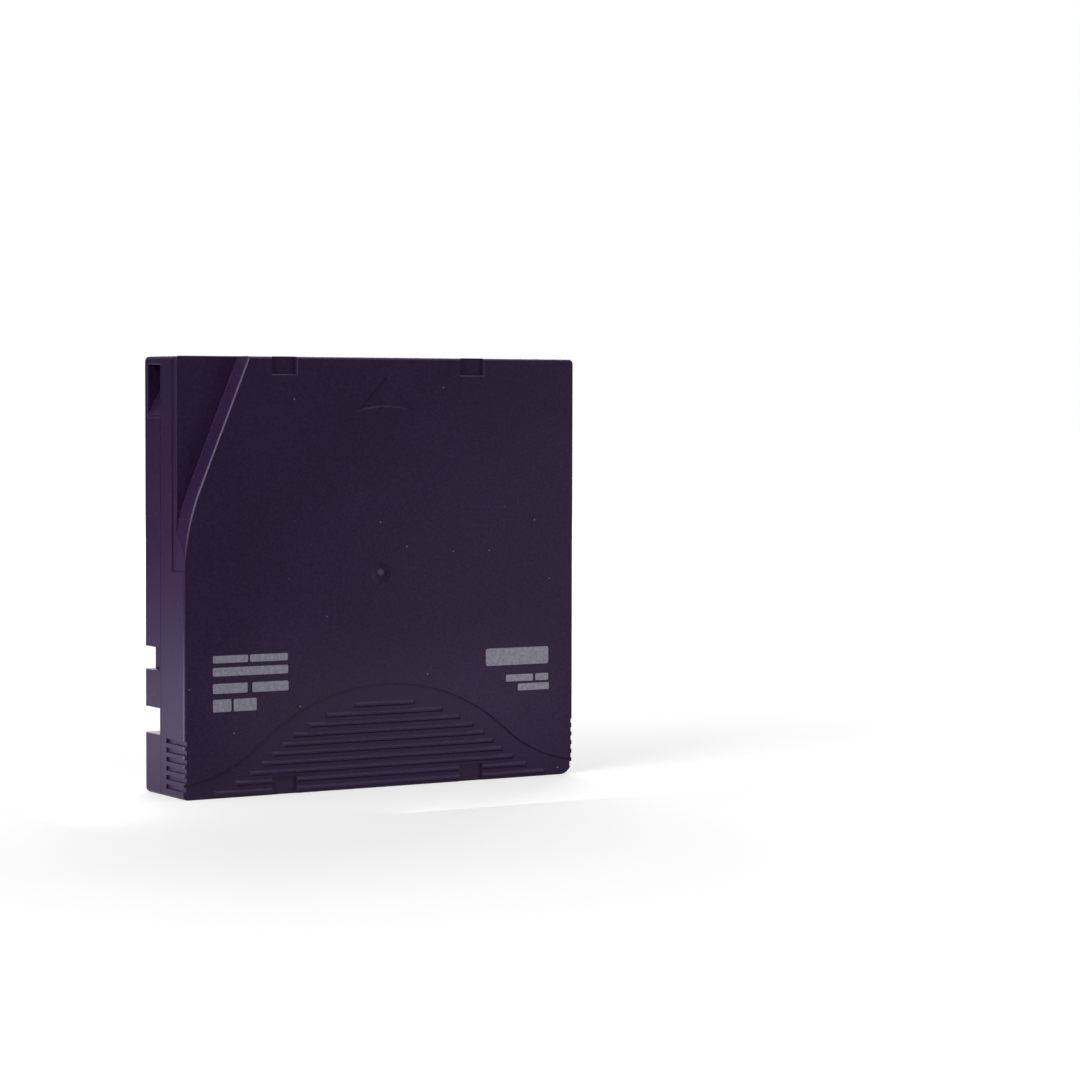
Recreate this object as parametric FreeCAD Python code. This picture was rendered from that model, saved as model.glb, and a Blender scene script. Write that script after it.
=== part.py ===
"""Half-inch data tape cartridge: single-reel case, reel with brake, leader pin, door and switch.

Millimetres. The cartridge stands on its rear (label) edge: X is its width, Y its thickness with
the top side at -Y, and Z its length with the insertion edge up. The origin is the middle of the
rear edge's face.
"""
import FreeCAD, Part
import math
import os

V = FreeCAD.Vector

# --- Case, outside ---
case_width = 105.4
case_thickness = 21.5
case_length = 102.0
upper_depth = 12.35          # upper shell, from its outer face to the parting plane
side_wall = 2.0
top_wall = 2.0
base_wall = 2.0
upper_edge_round = 0.8
lower_edge_round = 1.1
rear_right_corner = 3.3
small_corner = 1.2
parting_groove = 0.2

# --- Lip of the lower shell that centres the upper shell ---
lip_height = 1.1
lip_thick = 0.8
lip_clear = 0.15
lip_root = 1.4

# --- Reel axis and reel ---
reel_x = -1.3
reel_case_clear = 1.0        # flanges to the nearest side wall
flange_thick = 1.2
flange_gap = 13.0
tape_width = 12.65
tape_pack_margin = 1.5       # tape pack to the flanges' rims
hub_radius = 22.0
hub_wall = 2.0
hub_web = 2.0
hub_bore = 5.2
wind_clear = 0.05
collar_clear = 0.15
collar_wall = 1.2
collar_length = 2.6

# --- Drive teeth and clutch plate under the hub ---
tooth_ring_outer = 19.6
tooth_ring_inner = 15.6
tooth_ring_height = 1.1
drive_tooth_count = 36
drive_tooth_height = 1.0
drive_tooth_root = 1.8
drive_tooth_tip = 0.8
hub_opening_clear = 0.7
hub_opening_rim = 1.5
hub_rest_clear = 0.35
clutch_outer = 14.9
clutch_inner = 6.2
clutch_thick = 0.9
clutch_peg_radius = 0.9
clutch_peg_circle = 10.5
clutch_peg_clear = 0.05

# --- Brake ---
brake_travel = 2.0
brake_tooth_count = 30
brake_tooth_inner = 11.5
brake_tooth_outer = 14.5
brake_tooth_height = 0.85
brake_tooth_root = 1.5
brake_tooth_tip = 0.7
brake_clear = 0.3
brake_disc_radius = 15.4
brake_disc_thick = 1.4
brake_collar_radius = 7.0
brake_collar_height = 6.0
key_core_radius = 2.6
key_fin_radius = 4.6
key_fin_thick = 1.6
key_clear = 0.3
pad_arm_width = 4.0
pad_arm_reach = 19.2
pad_arm_thick = 0.8
pad_arm_clear = 0.2
pad_leg_radius = 2.0
pad_leg_circle = 17.6
pad_leg_proud = 0.7
pad_boss_radius = 4.6
pad_boss_depth = 2.6
ball_radius = 1.5
ball_clear = 0.05
brake_spring_radius = 8.4
brake_spring_wire = 0.7
brake_spring_turns = 4
spring_seat_clear = 0.1

# --- Insertion guide: stepped recess in the upper shell's front left ---
guide_front_margin = 16.8    # left side to the step's top edge, along the front edge
guide_angle = 22.6           # degrees between the step and the cartridge's length
guide_bend_radius = 55.0
guide_depth = 4.5
guide_draft = 0.75
guide_wall = 1.5
guide_edge_break = 0.3
guide_relief_depth = 0.25    # shallow relief of the left side beside the recess
guide_relief_width = 6.35
guide_relief_start = 1.85    # past the end of the step's bend
guide_rim_break = 0.2
guide_rim_start = 12.85      # past the end of the bend, where the step's foot leaves room
guide_rim_stop = 1.4         # short of the step, along the front edge

# --- Grip field with ribs ---
grip_apex_z = 24.8
grip_radius = 50.8
grip_flare_radius = 36.0
grip_foot_z = 3.4
grip_depth = 0.5
rib_count = 10
rib_first_z = 1.07
rib_pitch = 2.09
rib_root_above = 0.78        # rib centre to the foot of its flank, towards the front
rib_root_below = 0.62
rib_crest = 0.45
rib_drop = 0.08              # crest below the case's top face
rib_end_run = 0.7            # slope of a rib's end
rib_margin = 4.15            # arch to rib ends, square to the arch
rib_least = 2.0              # half length below which a rib is left out

# --- Handling notches, arrow and gate dish ---
notch_left_x = -26.8
notch_right_x = 23.8
notch_width = 6.3
notch_length = 4.1
notch_depth = 1.0
rim_break = 0.25             # broken edges of the handling notches and latch pocket
arrow_x = 0.2
arrow_front_margin = 4.5
arrow_height = 8.3
arrow_half_width = 8.0
arrow_base_rise = 1.1
arrow_depth = 0.35
arrow_wall_run = 0.3         # slope of the sunk arrow's walls
arrow_tick_x = -1.35
arrow_tick_width = 0.4
arrow_tick_length = 0.8
dish_radius = 2.7
dish_depth = 0.25
gate_radius = 1.05

# --- Grip grooves on both sides ---
side_groove_count = 6
side_groove_first_z = 2.5
side_groove_pitch = 2.12
side_groove_height = 1.12
side_groove_depth = 0.6
side_groove_length = 9.65    # from the top face towards the parting plane

# --- Latch pocket and location notches in the left side ---
pocket_front_margin = 2.0
pocket_height = 12.15
pocket_width = 7.1
pocket_depth = 6.0
pocket_ramp_run = 3.4
pocket_ramp_rise = 6.3
pocket_wall = 1.2
pocket_ceiling = 0.8
location_notch_zs = (31.7, 17.2)
location_notch_heights = (5.4, 6.2)
location_notch_depths = (2.9, 5.0)
location_notch_wall = 1.3
location_notch_web = 0.6

# --- Screws ---
screw_front_left = (9.7, 6.0)        # margins from the side and from the front
screw_front_right = (7.0, 5.4)
screw_rear = (10.2, 17.0)            # margins from the sides and from the rear
screw_head_radius = 2.2
screw_head_height = 1.6
screw_shank_radius = 1.2
screw_length = 11.0
screw_sink = 2.2
screw_recess_width = 0.6
screw_clear = 0.2
pilot_clear = 0.03
pilot_spare = 0.6
upper_boss_radius = 2.6
lower_boss_radius = 3.6

# --- Locating holes in the base ---
locating_hole_x = 30.0
locating_hole_front_margin = 6.5
locating_hole_radius = 2.0
locating_hole_depth = 3.0
locating_hole_wall = 1.0

# --- Access door in the right side ---
door_thick = 1.6
door_track_wall = 1.2        # case wall left beside the door's track
door_clear = 0.15
door_end_clear = 0.2
door_front_margin = 2.4
door_length = 15.0
door_travel = 14.0
door_overlap = 1.3
door_opening_half_height = 7.0
door_rail_thick = 0.8
door_rail_height = 1.3
door_groove_count = 3
door_groove_pitch = 1.8
door_groove_width = 0.8
door_groove_depth = 0.5
door_groove_margin = 1.5     # door opening's sides to the grooves' ends
door_spring_radius = 0.95
door_spring_wire = 0.3
door_spring_turns = 12
door_spring_length = 24.0
door_spring_y = 5.0
door_spring_seat = 1.6

# --- Leader pin, clip, tape and spring ---
pin_side_margin = 8.1
pin_front_margin = 12.5
pin_length = 16.6
pin_radius = 1.5
pin_head_radius = 2.4
pin_head_thick = 1.0
pin_cup_clear = 0.3
pin_cup_wall = 0.9
clip_wall = 1.2
clip_clear = 0.03
clip_side_clear = 0.3
leader_thick = 0.2
leader_clear = 0.3
pin_spring_thick = 0.3
pin_spring_arm = 0.8
pin_spring_drop = 5.4
pin_spring_foot = 5.6
pin_spring_rib = 0.9
pin_spring_clear = 0.05

# --- Write-protect switch in the rear edge ---
switch_side_margin = 7.9
switch_y = -3.0
switch_thumb_length = 5.6
switch_thumb_height = 4.8
switch_sink = 0.5
switch_flange_margin = 1.6
switch_flange_thick = 1.3
switch_travel = 6.0
switch_clear = 0.2
switch_rail_thick = 1.0

# --- Memory board in the rear right corner ---
board_side_margin = 9.2
board_y = 4.8
board_z = 6.9
board_length = 12.0
board_width = 8.0
board_thick = 0.8
board_tilt = 45.0
board_grip = 0.8
board_slot_clear = 0.05
cradle_thick = 1.4
cradle_height = 11.5
chip_size = 3.0
chip_thick = 0.5

# --- Label recess in the rear edge ---
label_left_margin = 22.7
label_right_margin = 16.7
label_half_height = 7.6
label_depth = 0.3

# --- Working allowances ---
proud = 1.0                  # how far a cutting tool stands out of the face that it cuts
sunk = 0.2                   # how far a part that stands on a wall is let into it
boss_gap = 0.3               # room round the upper shell's screw pillars

# --- Planes and spans worked out from the sizes above ---
y_top = -case_thickness / 2
y_base = case_thickness / 2
y_part = y_top + upper_depth
y_ceiling = y_top + top_wall
y_floor = y_base - base_wall
x_left = -case_width / 2
x_right = case_width / 2
z_front = case_length
reel_z = case_length / 2
flange_radius = min(case_width / 2 - abs(reel_x), case_length / 2) - side_wall - reel_case_clear
tape_pack_radius = flange_radius - tape_pack_margin
guide_turn = math.radians(guide_angle)
guide_front_x = x_left + guide_front_margin
guide_centre_x = x_left + guide_bend_radius
guide_bend_x = guide_centre_x - guide_bend_radius * math.cos(guide_turn)
guide_bend_z = z_front - (guide_front_x - guide_bend_x) / math.tan(guide_turn)
guide_end_z = guide_bend_z - guide_bend_radius * math.sin(guide_turn)
arrow_tip_z = z_front - arrow_front_margin
screw_places = ((x_left + screw_front_left[0], z_front - screw_front_left[1]),
                (x_right - screw_front_right[0], z_front - screw_front_right[1]),
                (x_left + screw_rear[0], screw_rear[1]),
                (x_right - screw_rear[0], screw_rear[1]))
locating_hole_z = z_front - locating_hole_front_margin
pin_x = x_right - pin_side_margin
pin_z = z_front - pin_front_margin
switch_x = x_left + switch_side_margin
board_x = x_right - board_side_margin
label_left_x = x_left + label_left_margin
label_right_x = x_right - label_right_margin
y_flange_low = flange_gap / 2
y_flange_out = y_flange_low + flange_thick
y_web_top = y_flange_out - hub_web
y_teeth_root = y_flange_out + tooth_ring_height
y_drive_tips = y_teeth_root + drive_tooth_height
y_hub_brake_tips = y_web_top - brake_tooth_height
y_button_tips = y_hub_brake_tips - brake_clear
y_button_under = y_button_tips - brake_tooth_height
y_button_top = y_button_under - brake_disc_thick
y_pad_under = y_web_top - pad_arm_clear
y_pad_top = y_pad_under - pad_arm_thick
hub_opening_radius = tooth_ring_outer + hub_opening_clear
pad_angles = (90.0, 210.0, 330.0)
x_track = x_right - door_track_wall
x_door_out = x_track - door_clear
x_door_in = x_door_out - door_thick
x_rail_out = x_door_in - door_clear
x_rail_in = x_rail_out - door_rail_thick
z_door_front = z_front - door_front_margin
z_door_rear = z_door_front - door_length
z_spring_seat = z_door_rear - spring_seat_clear - door_spring_length
z_track_rear = z_spring_seat - door_spring_seat
z_track_front = z_door_front + door_end_clear
z_pocket_front = z_front - pocket_front_margin
z_pocket_rear = z_pocket_front - pocket_height


def box(x0, x1, y0, y1, z0, z1):
    """Block between two corners."""
    return Part.makeBox(x1 - x0, y1 - y0, z1 - z0, V(x0, y0, z0))


def rod(radius, y0, y1, x, z):
    """Round bar along the thickness, from y0 to y1."""
    return Part.makeCylinder(radius, y1 - y0, V(x, y0, z), V(0, 1, 0))


def ring(outer, inner, y0, y1, x, z):
    """Round tube along the thickness."""
    return rod(outer, y0, y1, x, z).cut(rod(inner, y0, y1, x, z))


def prism(points, y0, y1):
    """Polygon of (x, z) points carried along the thickness."""
    corners = [V(x, y0, z) for x, z in points]
    face = Part.Face(Part.makePolygon(corners + corners[:1]))
    return face.extrude(V(0, y1 - y0, 0))


def arc(start, middle, end):
    """Arc edge through three points."""
    return Part.Arc(start, middle, end).toShape()


def joined(first, *others):
    """One solid from touching ones, with seams between flush faces removed."""
    return first.fuse(list(others)).removeSplitter()


def spin(shape, degrees):
    """Copy of a shape turned about the reel's axis."""
    turned = shape.copy()
    turned.rotate(V(reel_x, 0, reel_z), V(0, 1, 0), degrees)
    return turned


def plan_wire(inset, y):
    """The case's outline at height y, moved in by inset, with its four rounded corners."""
    left, right = x_left + inset, x_right - inset
    rear, front = inset, z_front - inset
    corners = ((left, rear, small_corner), (right, rear, rear_right_corner),
               (right, front, small_corner), (left, front, small_corner))
    edges = []
    first = last = None
    for i, (x, z, radius) in enumerate(corners):
        corner = V(x, y, z)
        before = V(corners[i - 1][0], y, corners[i - 1][1]) - corner
        after = V(corners[(i + 1) % 4][0], y, corners[(i + 1) % 4][1]) - corner
        before.normalize()
        after.normalize()
        r = max(radius - inset, 0.3)
        centre = corner + (before + after) * r
        start, end = corner + before * r, corner + after * r
        if last is not None:
            edges.append(Part.makeLine(last, start))
        else:
            first = start
        edges.append(arc(start, centre - (before + after) * (r / math.sqrt(2)), end))
        last = end
    edges.append(Part.makeLine(last, first))
    return Part.Wire(edges)


def plan_block(inset, y0, y1):
    """The case's outline as a block from y0 to y1."""
    return Part.Face(plan_wire(inset, y0)).extrude(V(0, y1 - y0, 0))


def outer_rounded(block, y, radius):
    """The block with the edges of its face at height y rounded."""
    edges = [e for e in block.Edges if all(abs(v.Y - y) < 1e-6 for v in e.Vertexes)]
    return block.makeFillet(radius, edges)


# ---------------------------------------------------------------- upper shell

def guide_wire(y, shift):
    """Outline of the guide recess at height y, its step moved towards +X by shift."""
    half = guide_turn / 2
    front = z_front + 2 * proud
    top_x = guide_front_x + (front - z_front) * math.tan(guide_turn)
    outside = x_left - 3 * proud
    end = V(x_left + shift, y, guide_end_z)
    middle = V(guide_centre_x - guide_bend_radius * math.cos(half) + shift, y,
               guide_end_z + guide_bend_radius * math.sin(half))
    bend = V(guide_bend_x + shift, y, guide_bend_z)
    top = V(top_x + shift, y, front)
    return Part.Wire([
        arc(end, middle, bend),
        Part.makeLine(bend, top),
        Part.makeLine(top, V(outside, y, front)),
        Part.makeLine(V(outside, y, front), V(outside, y, guide_end_z)),
        Part.makeLine(V(outside, y, guide_end_z), end),
    ])


def guide_cut():
    """The stepped recess with its drafted step and the broken edge along its top."""
    over = 0.5
    slope = guide_draft / guide_depth
    body = Part.makeLoft([guide_wire(y_top - over, over * slope),
                          guide_wire(y_top + guide_depth, -guide_draft)], True, True)
    brink = Part.makeLoft([guide_wire(y_top - over, over + guide_edge_break),
                           guide_wire(y_top + guide_edge_break, 0.0)], True, True)
    return [body, brink]


def guide_relief():
    """Shallow relief of the left side beside the recess, and the broken edges of the recess's floor."""
    y = y_top + guide_depth
    x = x_left + guide_relief_depth
    relief = box(x_left - proud, x, y_top - proud, y_top + guide_relief_width,
                 guide_end_z + guide_relief_start, z_front + proud)
    reach = guide_rim_break + proud
    z0 = guide_end_z + guide_rim_start
    side = [V(x - proud, y - proud, z0), V(x + reach, y - proud, z0), V(x - proud, y + reach, z0)]
    front = [V(x_left, y - proud, z_front + proud), V(x_left, y - proud, z_front - reach),
             V(x_left, y + reach, z_front + proud)]
    side_face = Part.Face(Part.makePolygon(side + side[:1]))
    front_face = Part.Face(Part.makePolygon(front + front[:1]))
    run = guide_front_x - guide_rim_stop - x_left
    return [relief, side_face.extrude(V(0, 0, z_front + proud - z0)), front_face.extrude(V(run, 0, 0))]


def guide_keep():
    """The plastic left round the recess inside the case."""
    y_end = y_top + guide_depth + guide_wall
    return Part.makeLoft([guide_wire(y_top, guide_wall + guide_draft),
                          guide_wire(y_end, guide_wall)], True, True)


def arch_centres():
    """Heights of the crown's and the flares' centres, and how far a flare's centre is from the middle."""
    crown_z = grip_apex_z - grip_radius
    flare_z = grip_foot_z + grip_flare_radius
    span = grip_radius + grip_flare_radius
    return crown_z, flare_z, math.sqrt(span ** 2 - (flare_z - crown_z) ** 2)


def arch_join_x():
    """Where the crown of the grip arch meets its flares."""
    _, _, flare_x = arch_centres()
    return flare_x * grip_radius / (grip_radius + grip_flare_radius)


def arch_point(x):
    """Height of the grip arch at x: a crown between two flares."""
    crown_z, flare_z, flare_x = arch_centres()
    if abs(x) < arch_join_x():
        return crown_z + math.sqrt(grip_radius ** 2 - x ** 2)
    return flare_z - math.sqrt(grip_flare_radius ** 2 - (flare_x - abs(x)) ** 2)


def grip_field():
    """The shallow field under the arch, as the block that is cut away."""
    y = y_top - proud
    reach = case_width / 2 + 0.5
    join = arch_join_x()
    between = (join + reach) / 2

    def at(x):
        return V(x, y, arch_point(x))
    low_right, low_left = V(reach, y, -1.0), V(-reach, y, -1.0)
    wire = Part.Wire([
        arc(at(-reach), at(-between), at(-join)),
        arc(at(-join), at(0.0), at(join)),
        arc(at(join), at(between), at(reach)),
        Part.makeLine(at(reach), low_right),
        Part.makeLine(low_right, low_left),
        Part.makeLine(low_left, at(-reach)),
    ])
    return Part.Face(wire).extrude(V(0, 1.0 + grip_depth, 0))


def rib_half_length(z):
    """Half length of the rib at z, up to the curve that runs inside the arch at the margin."""
    crown_z, flare_z, flare_x = arch_centres()
    crown, flare = grip_radius - rib_margin, grip_flare_radius + rib_margin
    join_z = crown_z + (flare_z - crown_z) * crown / (crown + flare)
    if z > join_z:
        return math.sqrt(max(crown ** 2 - (z - crown_z) ** 2, 0.0))
    return flare_x - math.sqrt(flare ** 2 - (flare_z - z) ** 2)


def grip_ribs():
    """Tapered ribs with sloped ends across the grip field, each as long as the arch allows."""
    ribs = []
    for i in range(rib_count):
        z = rib_first_z + i * rib_pitch
        half = rib_half_length(z)
        if half < rib_least:
            continue
        crest = half - rib_end_run
        ribs.append(Part.makeLoft([
            outline(-half, half, z - rib_root_below, z + rib_root_above, y_top + grip_depth + sunk / 2),
            outline(-crest, crest, z - rib_crest / 2, z + rib_crest / 2, y_top + rib_drop),
        ], True, True))
    return ribs


def outline(x0, x1, z0, z1, y):
    """Rectangle at height y."""
    corners = [V(x0, y, z0), V(x1, y, z0), V(x1, y, z1), V(x0, y, z1)]
    return Part.makePolygon(corners + corners[:1])


def notch_cut(x0, x1, z0, z1, face, inward):
    """Shallow notch into a face square to Y, with its rim broken; inward is +1 or -1."""
    ends = sorted((face - inward * proud, face + inward * notch_depth))
    grow = proud + rim_break
    rim = Part.makeLoft([outline(x0 - grow, x1 + grow, z0 - grow, z1 + grow, face - inward * proud),
                         outline(x0, x1, z0, z1, face + inward * rim_break)], True, True)
    return [box(x0, x1, ends[0], ends[1], z0, z1), rim]


def notch_cuts(face, inward):
    """The four handling notches, open to the front and rear edges."""
    cuts = []
    for x in (notch_left_x, notch_right_x):
        left, right = x - notch_width / 2, x + notch_width / 2
        cuts += notch_cut(left, right, -2 * proud, notch_length, face, inward)
        cuts += notch_cut(left, right, z_front - notch_length, z_front + 2 * proud, face, inward)
    return cuts


def arrow_wire(y, inset):
    """The arrow's outline at height y, moved in by an inset: two sides and a bowed base."""
    side = math.atan2(arrow_height, arrow_half_width)
    bow = 2 * math.atan2(arrow_base_rise, arrow_half_width)
    corner = math.sin(side - bow)
    foot = arrow_tip_z - arrow_height
    in_x = inset * (math.cos(bow) + math.cos(side)) / corner
    in_z = inset * (math.sin(bow) + math.sin(side)) / corner
    tip = V(arrow_x, y, arrow_tip_z - inset / math.cos(side))
    left = V(arrow_x - arrow_half_width + in_x, y, foot + in_z)
    right = V(arrow_x + arrow_half_width - in_x, y, foot + in_z)
    base = V(arrow_x, y, foot + arrow_base_rise + inset)
    return Part.Wire([Part.makeLine(left, tip), Part.makeLine(tip, right), arc(right, base, left)])


def arrow_cut():
    """The insertion arrow: a sunk triangle with sloped walls, and a short tick at its base."""
    over = proud * arrow_wall_run / arrow_depth
    sunk_part = Part.makeLoft([arrow_wire(y_top - proud, -over),
                               arrow_wire(y_top + arrow_depth, arrow_wall_run)], True, True)
    z_base = arrow_tip_z - arrow_height + arrow_base_rise
    tick = box(arrow_tick_x - arrow_tick_width / 2, arrow_tick_x + arrow_tick_width / 2,
               y_top - proud, y_top + arrow_depth / 2, z_base - arrow_tick_length, z_base + sunk)
    return sunk_part.fuse(tick)


def dish_cut():
    """The shallow dish over the reel's axis, with the gate mark left standing in it."""
    sphere_radius = (dish_radius ** 2 + dish_depth ** 2) / (2 * dish_depth)
    ball = Part.makeSphere(sphere_radius, V(reel_x, y_top + dish_depth - sphere_radius, reel_z))
    return ball.cut(rod(gate_radius, y_top, y_top + 1.0, reel_x, reel_z))


def side_groove_cuts():
    """Grip grooves in both sides, open at the top face's edges."""
    cuts = []
    for i in range(side_groove_count):
        z = side_groove_first_z + i * side_groove_pitch
        low, high = z - side_groove_height / 2, z + side_groove_height / 2
        y_end = y_top + side_groove_length
        cuts.append(box(x_left - proud, x_left + side_groove_depth, y_top - proud, y_end, low, high))
        cuts.append(box(x_right - side_groove_depth, x_right + proud, y_top - proud, y_end, low, high))
    return cuts


def door_opening():
    """The hole in the right wall, and the track that thins the wall beside the door."""
    half = door_opening_half_height
    z_low, z_high = z_door_rear + door_overlap, z_door_front - door_overlap
    hole = box(x_track - 1.0, x_right + proud, -half, half, z_low, z_high)
    track = box(x_right - side_wall - 0.1, x_track, y_ceiling, y_floor, z_track_rear, z_track_front)
    return [hole, track]


def door_rail(y0, y1):
    """Inner rail that keeps the door against its track."""
    return box(x_rail_in, x_rail_out, y0, y1, z_door_rear - door_travel, z_track_front)


def pin_cup(y0, y1):
    """C-shaped cup that holds one end of the leader pin, open towards the door."""
    inner = pin_head_radius + pin_cup_clear
    outer = inner + pin_cup_wall
    cup = ring(outer, inner, y0, y1, pin_x, pin_z)
    return cup.cut(box(pin_x, pin_x + outer + 1.0, y0, y1, pin_z - inner, pin_z + inner))


def pin_spring_ribs(y0, y1):
    """Two ribs that hold the pin spring's strip between them."""
    z_strip = pin_z - pin_spring_drop
    left = pin_x - pin_spring_foot / 2
    right = left + pin_spring_foot - 1.0
    z_under = z_strip - pin_spring_clear
    lower = box(left, right, y0, y1, z_under - pin_spring_rib, z_under)
    z_over = z_strip + pin_spring_thick + pin_spring_clear
    upper = box(left, right - 1.0, y0, y1, z_over, z_over + pin_spring_rib)
    return [lower, upper]


def brake_key():
    """The post with four fins that keeps the brake button from turning."""
    y_tip = y_button_top - brake_travel - 0.5
    core = rod(key_core_radius, y_ceiling - sunk, y_tip, reel_x, reel_z)
    across = box(reel_x - key_fin_radius, reel_x + key_fin_radius, y_ceiling - sunk, y_tip,
                 reel_z - key_fin_thick / 2, reel_z + key_fin_thick / 2)
    along = spin(across, 90.0)
    return [core, across, along]


def switch_window():
    """The slot in the rear edge that the switch's thumb slides along."""
    half = switch_thumb_length / 2 + switch_clear
    height = switch_thumb_height / 2 + switch_clear
    return box(switch_x - half, switch_x + switch_travel + half, switch_y - height, switch_y + height,
               -1.0, side_wall + proud)


def label_recess():
    """Shallow field for a label on the rear edge."""
    return box(label_left_x, label_right_x, -label_half_height, label_half_height, -1.0, label_depth)


def upper_bosses():
    """Screw pillars that reach down to the parting plane."""
    return [rod(upper_boss_radius, y_ceiling - sunk, y_part, x, z) for x, z in screw_places]


def pilot_holes():
    """Blind holes that the screws cut their threads in."""
    y_tip = y_base - screw_sink - screw_length - pilot_spare
    radius = screw_shank_radius + pilot_clear
    return [rod(radius, y_tip, y_part + proud, x, z) for x, z in screw_places]


def make_upper_shell():
    """Upper half of the case, with everything that stands inside it."""
    blank = outer_rounded(plan_block(0.0, y_top, y_part), y_top, upper_edge_round)
    hollow = plan_block(side_wall, y_ceiling, y_part + proud).cut(guide_keep())
    cup_height = pin_head_thick + 0.3
    inner = upper_bosses() + brake_key()
    inner += [door_rail(y_ceiling - sunk, y_ceiling + door_rail_height)]
    inner += [pin_cup(y_ceiling - sunk, y_ceiling + cup_height)]
    inner += pin_spring_ribs(y_ceiling - sunk, y_ceiling + cup_height)
    shell = blank.cut(hollow).fuse(inner)
    cuts = guide_cut() + guide_relief() + notch_cuts(y_top, 1) + side_groove_cuts()
    cuts += door_opening() + pilot_holes()
    cuts += [grip_field().cut(grip_ribs()), arrow_cut(), dish_cut(), switch_window(), label_recess()]
    return shell.cut(cuts).removeSplitter()


# ---------------------------------------------------------------- lower shell

def boss_gaps(y0):
    """Room for the upper shell's screw pillars, from y0 to the parting plane."""
    return [rod(upper_boss_radius + boss_gap, y0, y_part, x, z) for x, z in screw_places]


def lip():
    """Ledge inside the joint that centres the upper shell, cut clear of what it would meet."""
    outer = side_wall + lip_clear
    inner = side_wall + lip_clear + lip_thick
    crest = plan_block(outer, y_part - lip_height, y_part + 0.1).cut(
        plan_block(inner, y_part - lip_height, y_part + 0.1))
    root = plan_block(side_wall - sunk, y_part, y_part + lip_root).cut(
        plan_block(inner, y_part, y_part + lip_root))
    y0, y1 = y_part - lip_height - 1.0, y_part + lip_root + 1.0
    gaps = boss_gaps(y0)
    gaps.append(box(x_rail_in - 0.3, x_right - side_wall, y0, y1, z_track_rear, z_front))
    reach = switch_thumb_length / 2 + switch_flange_margin + switch_clear
    gaps.append(box(switch_x - reach, switch_x + switch_travel + reach, y0, y1,
                    side_wall, side_wall + switch_flange_thick + lip_clear + lip_thick))
    return crest.fuse(root).cut(gaps)


def location_notches():
    """Notches in the left side, each with the wall that backs it inside the case."""
    walls, cuts = [], []
    for z, height, depth in zip(location_notch_zs, location_notch_heights, location_notch_depths):
        low, high = z - height / 2, z + height / 2
        y_web = y_part + location_notch_web
        x_in = x_left + depth
        t = location_notch_wall
        walls.append(box(x_left + side_wall - sunk, x_in + t, y_part, y_floor + sunk, low - t, high + t))
        cuts.append(box(x_left - proud, x_in, y_web, y_base + proud, low, high))
    return walls, cuts


def latch_pocket():
    """Pocket beside the parting plane with a ramp inside, and the housing round it."""
    y_out = y_part + pocket_width
    x_in = x_left + pocket_depth
    t = pocket_wall
    x_wall = x_left + side_wall
    housing = box(x_wall - sunk, x_in + t, y_part, y_floor + sunk,
                  z_pocket_rear - t, z_front - side_wall + sunk)
    ceiling = box(x_wall + lip_clear, x_in + t, y_part - pocket_ceiling, y_part + 0.2,
                  z_pocket_rear - t, z_front - side_wall - lip_clear).cut(boss_gaps(y_part - 2.0))
    ramp_x = x_left + pocket_ramp_run
    ramp_z = z_pocket_rear + pocket_ramp_rise
    profile = [(x_left - proud, z_pocket_rear), (x_left, z_pocket_rear), (ramp_x, ramp_z),
               (x_in, ramp_z), (x_in, z_pocket_front), (x_left - proud, z_pocket_front)]
    near = [V(x_left - proud, y_part, z_pocket_rear - rim_break - proud),
            V(x_left - proud, y_out + rim_break + proud, z_pocket_rear - rim_break - proud),
            V(x_left - proud, y_out + rim_break + proud, z_pocket_front + rim_break + proud),
            V(x_left - proud, y_part, z_pocket_front + rim_break + proud)]
    far = [V(x_left + rim_break, y_part, z_pocket_rear), V(x_left + rim_break, y_out, z_pocket_rear),
           V(x_left + rim_break, y_out, z_pocket_front), V(x_left + rim_break, y_part, z_pocket_front)]
    rim = Part.makeLoft([Part.makePolygon(near + near[:1]), Part.makePolygon(far + far[:1])], True, True)
    return [housing, ceiling], [prism(profile, y_part, y_out), rim]


def locating_holes():
    """Blind round holes in the base near the front corners, and their bosses."""
    bosses, cuts = [], []
    y_end = y_base - locating_hole_depth
    for x in (-locating_hole_x, locating_hole_x):
        bosses.append(rod(locating_hole_radius + locating_hole_wall, y_end - locating_hole_wall,
                          y_floor + sunk, x, locating_hole_z))
        cuts.append(rod(locating_hole_radius, y_end, y_base + proud, x, locating_hole_z))
    return bosses, cuts


def screw_seats():
    """Lower pillars with their through holes and sunk seats."""
    bosses, cuts = [], []
    for x, z in screw_places:
        bosses.append(rod(lower_boss_radius, y_part, y_floor + sunk, x, z))
        cuts.append(rod(screw_shank_radius + screw_clear, y_part - 0.5, y_base, x, z))
        seat = y_base - screw_sink
        cuts.append(rod(screw_head_radius + screw_clear, seat, y_base + proud, x, z))
    return bosses, cuts


def switch_rail():
    """Rib from the base that keeps the switch against the rear wall."""
    reach = switch_thumb_length / 2 + switch_flange_margin + 0.5
    z0 = side_wall + 2 * switch_clear + switch_flange_thick
    y_end = switch_y - switch_thumb_height / 2
    return box(switch_x - reach, switch_x + switch_travel + reach, y_end, y_floor + sunk,
               z0, z0 + switch_rail_thick)


def tilted_slab(length, width, thick, out):
    """Slab on the memory board's tilt, its near face out from the board's middle plane."""
    slab = Part.makeBox(length, thick, width, V(-length / 2, out, -width / 2))
    slab.rotate(V(0, 0, 0), V(1, 0, 0), -board_tilt)
    slab.translate(V(board_x, board_y, board_z))
    return slab


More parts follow.
